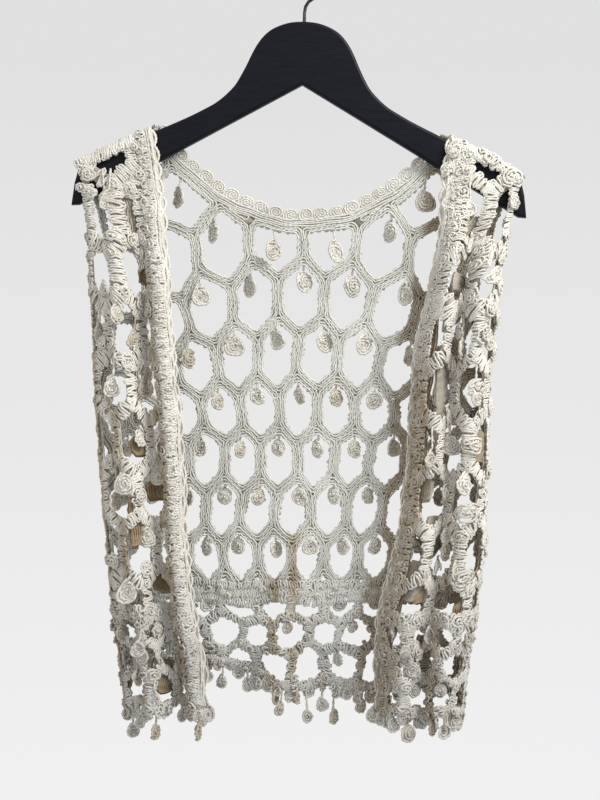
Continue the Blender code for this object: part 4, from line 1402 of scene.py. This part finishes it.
            def column(share, depth):
                bulge = 1 - 0.45 * np.linspace(-1, 1, len(depth)) ** 4
                return (left + right) / 2 + share * (right - left) * bulge + np.sin(depth / 5), depth

            depth = np.linspace(b, far_b, 7)
            columns = [column(share, depth) for share in np.linspace(-0.5, 0.5, 6)]
            ground.patch(self.cloth, columns, INSIDE - 2, turned=False)
            depth = np.arange(b - 1, far_b + 1, COLUMN_STEP)
            shares = np.linspace(-0.52, 0.52, max(2, round((right - left) / COLUMN_PITCH)))
            lay_columns(strands, self.cloth, [column(share, depth) for share in shares], INSIDE - 2)
        self.wear(part, ground, materials[0], Strands.walled)
        self.wear(part + "_strands", strands, materials[1])

    def finish(self):
        ground, flat_area = Strands(), 0.0
        for shape in self.shapes:
            bar = self.bar_of(shape)
            outer, hole = evenly(shape, 6.4, 12), moved_in(shape, bar - GROUND_MARGIN)
            if hole is None:
                middle = outer.mean(axis=0)
                inner = middle + (outer - middle) * 0.02
            else:
                inner = matched(hole, outer)
            rings = [blend(outer, inner, share) for share in (0, 0.5, 1)]
            ground.patch(self.cloth, [np.concatenate([r, r[:1]]).T for r in rings], turned=False)
            gap = moved_in(shape, bar)
            flat_area += abs(area(shape)) - (0 if gap is None else abs(area(gap.tolist())))
        ground = ground.walled(self.name + "_ground", GROUND)
        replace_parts(ground, self.name)
        flat_size(self.shapes)
        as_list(self.worn)


# Panels

def border_dress(side, cloth, panel_fields, top, depth, **more):
    """The lace border under a net that ends at top."""
    rows = border_rows(side, top, depth)
    cells = panel_cells(rows, border_fields(panel_fields, side, top))
    return Dress("hem_" + side, cloth, cells, BORDER_BAR, **more)


def back_reach(b):
    """Flat distances from x = 0 to the back's left and right edges."""
    return float(back_width(b, True)), float(back_width(b, False))


def build_back():
    panel = Dress("back_panel", BACK_CLOTH, panel_cells(BACK_ROWS, BACK_FIELDS, 1), BACK_BAR)
    panel.inside(STRAND_PLACES)
    panel.outside(BACK_BAR + 0.7, REAR_PITCH, 3)
    panel.drops(BACK_ROWS)
    left, right = back_reach(SEAM_LEVEL)
    ends = (2 - left, *BACK_SEAM_ENDS, right - 2)
    seams = [np.linspace(ends[i], ends[i + 1], 30) for i in (0, 2)]
    lines = [np.stack([u, seam_below(u) + down], axis=-1) for u in seams for down in SEAM_ROWS]
    panel.rows("seams", lines, 3.6, DIM)
    panel.finish()
    fuller = FULLER["back border"]
    border = border_dress("back", BACK_CLOTH, BACK_FIELDS, BACK_END, BACK_BORDER, fuller=fuller)
    border.lace(BORDER_BAR - 0.6, DIM)
    left, right = back_reach(BACK_END)
    u = np.linspace(4 - left, right - 4, 60)
    lines = [np.stack([u, BACK_END + down + 1.5 * np.sin(u / 14)], axis=-1) for down in JOIN_ROWS]
    border.rows("join", lines, 4.0, DIM)
    border.discs(0.6)
    border.sprinkle(20)
    border.knots(0.6, 3.4, 5.6)
    border.finish()


def build_front(side):
    front = Front(side)
    cloth = Cloth(front.point, -1 if side == "left" else 1, 1.3, front.end)
    lower = FRONT_LOWER[side]
    rows = [(apex + lower, slant, FRONT_PITCH, FRONT_CENTRE, 0) for apex, slant in FRONT_ROWS]
    cells = panel_cells(rows, front.fields())
    panel = Dress("front_" + side, cloth, cells, FRONT_BAR, FULLER[side], front.width)
    panel.inside(FRONT_PLACES, FRONT_STEP)
    panel.outside(FRONT_BAR + 1.4)
    panel.hang_at(HANGING[side])
    panel.knots(0.85, 4.8, 7.6)
    u = np.linspace(BAND + 2, float(front.width(SEAM_LEVEL)) - 2, 30)
    top = seam_below(front.point(u, 175)[..., 0])
    lines = [np.stack([u, top + down], axis=-1) for down in SEAM_ROWS]
    panel.rows("seam", lines, 3.6, BRIGHT, OUTSIDE)
    panel.lumps(LUMPS[side])
    panel.patches("shaded_cloth", SHADED_PLACES[side], SHADE_CLOTH)
    panel.patches("cloth_behind", BEHIND_PLACES[side], SHADE_BEHIND)
    panel.finish()
    border = border_dress(side, cloth, front.fields(), front.end, FRONT_BORDER, width=front.width)
    border.lace(BORDER_BAR + 0.8, BRIGHT)
    border.hang_at(HEM_HANGING[side])
    border.sprinkle(13)
    border.patches("shaded_cloth", HEM_SHADED_PLACES[side], SHADE_CLOTH)
    border.discs(0.4)
    border.knots(0.8, 3.8, 6.2)
    border.finish()
    build_front_band(front, cloth)
    build_fringe(side, cloth, 1.0, float(front.width(hem_below(side, 0))) - 3)


def band_shade_cloth(cloth, name, bottom):
    """Dark cloth of painted shade in the valley beside the band, behind the net."""

    def columns(b, shares):
        wide = 7.5 + 3.5 * np.sin(b / 19) + 2 * np.sin(b / 7.3 + 1)
        return [(BAND - 1 + wide * share, b) for share in shares]

    ground, strands = Strands(), Strands()
    ground.patch(cloth, columns(np.linspace(300, bottom, 110), np.linspace(0, 1, 5)), INSIDE - 1.6)
    b = np.arange(300, bottom, COLUMN_STEP)
    lay_columns(strands, cloth, columns(b, np.linspace(0.05, 1, 4)), INSIDE - 1.6)
    return [ground.walled(name, SHADE_CLOTH[0]), strands.piece(name + "_strands", SHADE_CLOTH[1])]


def build_front_band(front, cloth):
    """Curled stitches beside long strands, and a cord looped along the front edge."""
    name = "front_band_" + front.side

    def top_at(u):
        return float(seam_below(front.point(u, 170)[0])) + GAP

    top, bottom = top_at(BAND / 2), float(hem_below(front.side, 0))
    # dark cloth of painted shade beside the band
    facing = band_shade_cloth(cloth, name + "_facing", front.end + 60)
    worn = [
        band_stitches(cloth, top, bottom).piece(name + "_stitches", BRIGHT),
        band_curls(cloth, top, bottom).piece(name + "_curls", COIL),
        band_cord(cloth, top, bottom).piece(name + "_cord", EDGE),
        *facing,
    ]
    share = np.linspace(0, 1, int((bottom - top) / 6))
    places = np.linspace(2.6, BAND, 6)
    columns = [(np.full_like(share, u), blend(top_at(u), bottom, share)) for u in places]
    ground = Strands()
    ground.patch(cloth, columns)
    ground = ground.walled(name + "_ground", BAND_GROUND)
    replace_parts(ground, name)


def band_stitches(cloth, top, bottom):
    band = Strands()
    count = int((bottom - top) / BAND_RIDGE)
    for u, half in BAND_STITCHES:
        b = top + (np.arange(count) + 0.5) * BAND_RIDGE
        centres = np.stack([u + DICE.normal(0, 0.4, count), np.minimum(b, bottom - 2)], axis=-1)
        lean = DICE.normal(0, 0.3, count)
        ways = np.stack([np.cos(lean), np.sin(lean)], axis=-1)
        spans = half * DICE.uniform(0.85, 1.15, count)
        stitch_loops(band, cloth, centres, ways, spans, OUTSIDE)
        stitch_loops(band, cloth, centres[::3], ways[::3], spans[::3], INSIDE)
    b = np.arange(top + 1, bottom - 1, STRAND_STEP)
    beat = beats(len(b))
    for u in LONG_STRANDS:
        place = u + 0.3 * beat + 0.5 * np.sin(b / 17 + u)
        band.lay(cloth, place, b, OUTSIDE + 0.3 * beat, 1.3 * (1 + 0.18 * beat))
    return band


def band_curls(cloth, top, bottom):
    """Small coils along the band's outer side."""
    curls = Strands()
    for i in range(int((bottom - top - 8) / CURL_PITCH)):
        u = CURL_PLACE + DICE.normal(0, 2.4)
        b = top + 8 + (i + DICE.uniform(-0.25, 0.25)) * CURL_PITCH
        turns, way = DICE.uniform(0.5, 1.1), DICE.uniform(0, 6.3)
        lay_coil(curls, cloth, u, b, DICE.uniform(3.6, 6.6), OUTSIDE + 0.8, turns, 16, way)
    return curls


def band_cord(cloth, top, bottom):
    """Two strands that cross and part along the front edge."""
    cord = Strands()
    b = np.arange(top + 1, bottom - 1, 1.6)
    phase = math.pi * (b - top) / CORD_PITCH + 0.7 * np.sin(b / 31)
    wave = np.abs(np.sin(phase)) ** 0.8
    for side in (-1, 1):
        lift = side * (0.9 + 0.8 * np.cos(phase))
        cord.lay(cloth, 3.6 + side * 3.2 * wave, b, lift, 1.4 * (1 + 0.15 * beats(len(b))), 6)
    return cord


def on_neck(at, across):
    """(u, b) at lengths along the neck band and distances down across it."""
    middle, way = (along_line(at, NECK_ARC, line) for line in (NECK, ACROSS_NECK))
    return (middle + way * np.asarray(across)[..., None]).T


def neck_strands(start, end):
    """Strands along the back's neck."""
    band = Strands()
    at = np.arange(start, end, STRAND_STEP)
    beat = beats(len(at))
    for across in np.linspace(0.8 - NECK_HALF, NECK_HALF - 0.6, NECK_STRANDS):
        u, b = on_neck(at, across + 0.3 * np.sin(at / 9 + across))
        for lift in (INSIDE, OUTSIDE):
            radius = STRAND * (1 + 0.13 * beat)
            band.lay(BACK_CLOTH, u, b, lift + 0.25 * beat, radius, side=math.copysign(1, lift))
    return band.piece("neck_band_strands", DIM)


def neck_rosettes(start, end):
    """Rosettes that stand on the neck band's upper edge."""
    rosettes = Strands()
    count = int((end - start) / ROSETTE_PITCH)
    x, y, reach = spiral(3.2, 44)
    for i in range(count):
        centre = start + (end - start) * (i + 0.5) / count
        size = DICE.uniform(0.92, 1.08)
        out = NECK_HALF - 2.4 + ROSETTE_HEIGHT / 2 * (1 + size * y)
        lift = DICE.uniform(-1.6, 1.6) * reach**2
        radius = 1.15 * (1 + 0.12 * beats(len(x)))
        rosettes.lay(BACK_CLOTH, *on_neck(centre + 8.7 * size * x, -out), lift, radius)
    return rosettes.piece("neck_band_rosettes", COIL)


def build_neck_band():
    inside = [p[1] > seam_below(p[0]) + 2 for p in NECK]
    start, end = NECK_ARC[inside.index(True)], NECK_ARC[len(inside) - 1 - inside[::-1].index(True)]
    worn = [neck_strands(start, end), neck_rosettes(start, end)]
    ground = Strands()
    at = np.linspace(start, end, int((end - start) / 5))
    ground.patch(BACK_CLOTH, [on_neck(at, across) for across in np.linspace(-NECK_HALF, NECK_HALF, 4)])
    ground = ground.walled("neck_band_ground", GROUND)
    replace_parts(ground, "neck_band")


def build_fringe(side, cloth, first, last):
    """The hem's last row: a cord, and drops on chains of uneven length."""
    strands = Strands()
    u = np.linspace(first, last, 300)
    places = cloth.surface(u, hem_below(side, u) + 2 * GAP)[0]
    for x, b, size, turn in PENDANTS[side]:
        root = places[seen_first(places, x)]
        stem = max(1.5, b - 1.08 * size + root[2])
        hang_drops(strands, [root], [turn], [1.0], stem, size, 3.0, 44)
    u = np.linspace(first, last, 120)
    strands.lay(cloth, u, hem_below(side, u) + 2, 0 * u, 1.4)
    u = np.arange(first + 3, last - 2, SCALLOP_PITCH)
    u = u + DICE.normal(0, 1.2, len(u))
    b = hem_below(side, u) + DICE.uniform(1, 7, len(u))
    middle, across, _ = cloth.surface(u, b - 6)
    turns = np.arctan2(across[:, 1], across[:, 0]) + DICE.normal(0, 0.5, len(u))
    sizes = DICE.uniform(0.8, 1.2, len(u))
    hang_drops(strands, middle, turns, sizes, 0.5, 7.0, 3.0, 44)
    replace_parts(strands.piece("fringe_{}_drops".format(side), COIL), "fringe_" + side)


# Hanger

def place_object(name, data, location=(0, 0, 0), turn=(0, 0, 0)):
    obj = bpy.data.objects.new(name, data)
    obj.location, obj.rotation_euler = location, turn
    bpy.context.scene.collection.objects.link(obj)
    return obj


def hanger_edge():
    """The right half of the outline, its long curve drawn through the named points."""
    points = np.array(HANGER_OUTLINE, float)
    top, rest = points[:CURVED], points[CURVED:]
    curve = curve_through(top, int(arc_lengths(top)[-1] / CURVE_STEP))
    return [tuple(p) for p in np.concatenate([curve, rest])]


def build_hanger():
    """The arms' outline as a smooth curve, with its edges rounded over."""
    right = hanger_edge()
    left = [(-x, below) for x, below in right[1:-1]]
    outline = [tilted(x, below) for x, below in right + left[::-1]]
    curve = bpy.data.curves.new("hanger_arms_shaped", "CURVE")
    curve.dimensions, curve.fill_mode = "2D", "BOTH"
    curve.extrude = (HANGER_THICK / 2 - HANGER_ROUND) * MM
    curve.bevel_depth, curve.bevel_resolution = HANGER_ROUND * MM, 4
    curve.offset = -HANGER_ROUND * MM
    line = curve.splines.new("POLY")
    line.points.add(len(outline) - 1)
    for point, (x, below) in zip(line.points, outline):
        point.co = (x * MM, -below * MM, 0, 1)
    line.use_cyclic_u = True
    curve.materials.append(wood_material())
    obj = place_object("hanger_arms_shaped", curve, turn=(math.pi / 2, 0, 0))
    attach(obj, "root")
    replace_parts(obj, "hanger_arms")


# Stage

def studio_world():
    """A pale room, a little brighter below than above."""
    world = bpy.data.worlds.new("studio")
    world.use_nodes = True
    tree = world.node_tree
    way = add_node(tree, "TexCoord", {}, "Generated")
    rise = maths(tree, "MULTIPLY_ADD", add_node(tree, "SeparateXYZ", {0: way}, "Z"), 0.5, 0.5)
    shade = ramp(tree, rise, [(share, (grey, grey, grey)) for share, grey in ROOM_GREYS])
    set_inputs(tree, tree.nodes["Background"], {"Color": shade})
    return world


def soft_light(name, place, size, power, colour):
    light = bpy.data.lights.new(name, "AREA")
    light.size, light.energy, light.color = size, power, colour
    way = Vector(LIGHTS_AIM) - Vector(place)
    place_object(name, light, place, way.to_track_quat("-Z", "Y").to_euler())


def stage():
    bpy.context.scene.world = studio_world()
    bpy.context.scene.view_settings.view_transform = "Standard"
    for light in LIGHTS:
        soft_light(*light)
    bpy.ops.mesh.primitive_circle_add(
        vertices=64, radius=FLOOR_RADIUS, fill_type="NGON", location=(0, 0, FLOOR_HEIGHT))
    floor = bpy.context.object
    floor.name = "floor"
    material, tree, shader = new_material("pale_floor")
    set_inputs(tree, shader, {"Base Color": (0.8, 0.8, 0.81), "Roughness": 0.8})
    floor.data.materials.append(material)


def camera():
    data = bpy.data.cameras.new("camera")
    data.lens, data.sensor_width = CAMERA_LENS, CAMERA_SENSOR
    bpy.context.scene.camera = place_object("camera", data, CAMERA_PLACE, (math.pi / 2, 0, 0))


def main():
    camera()
    stage()
    build_hanger()
    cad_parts["hanger_hook"].material_slots[0].material = wire_material()
    build_back()
    build_neck_band()
    left, right = (float(back_width(hem_below("back", u), u < 0)) for u in (-200, 200))
    build_fringe("back", BACK_CLOTH, 3 - left, right - 3)
    build_front("left")
    build_front("right")


main()
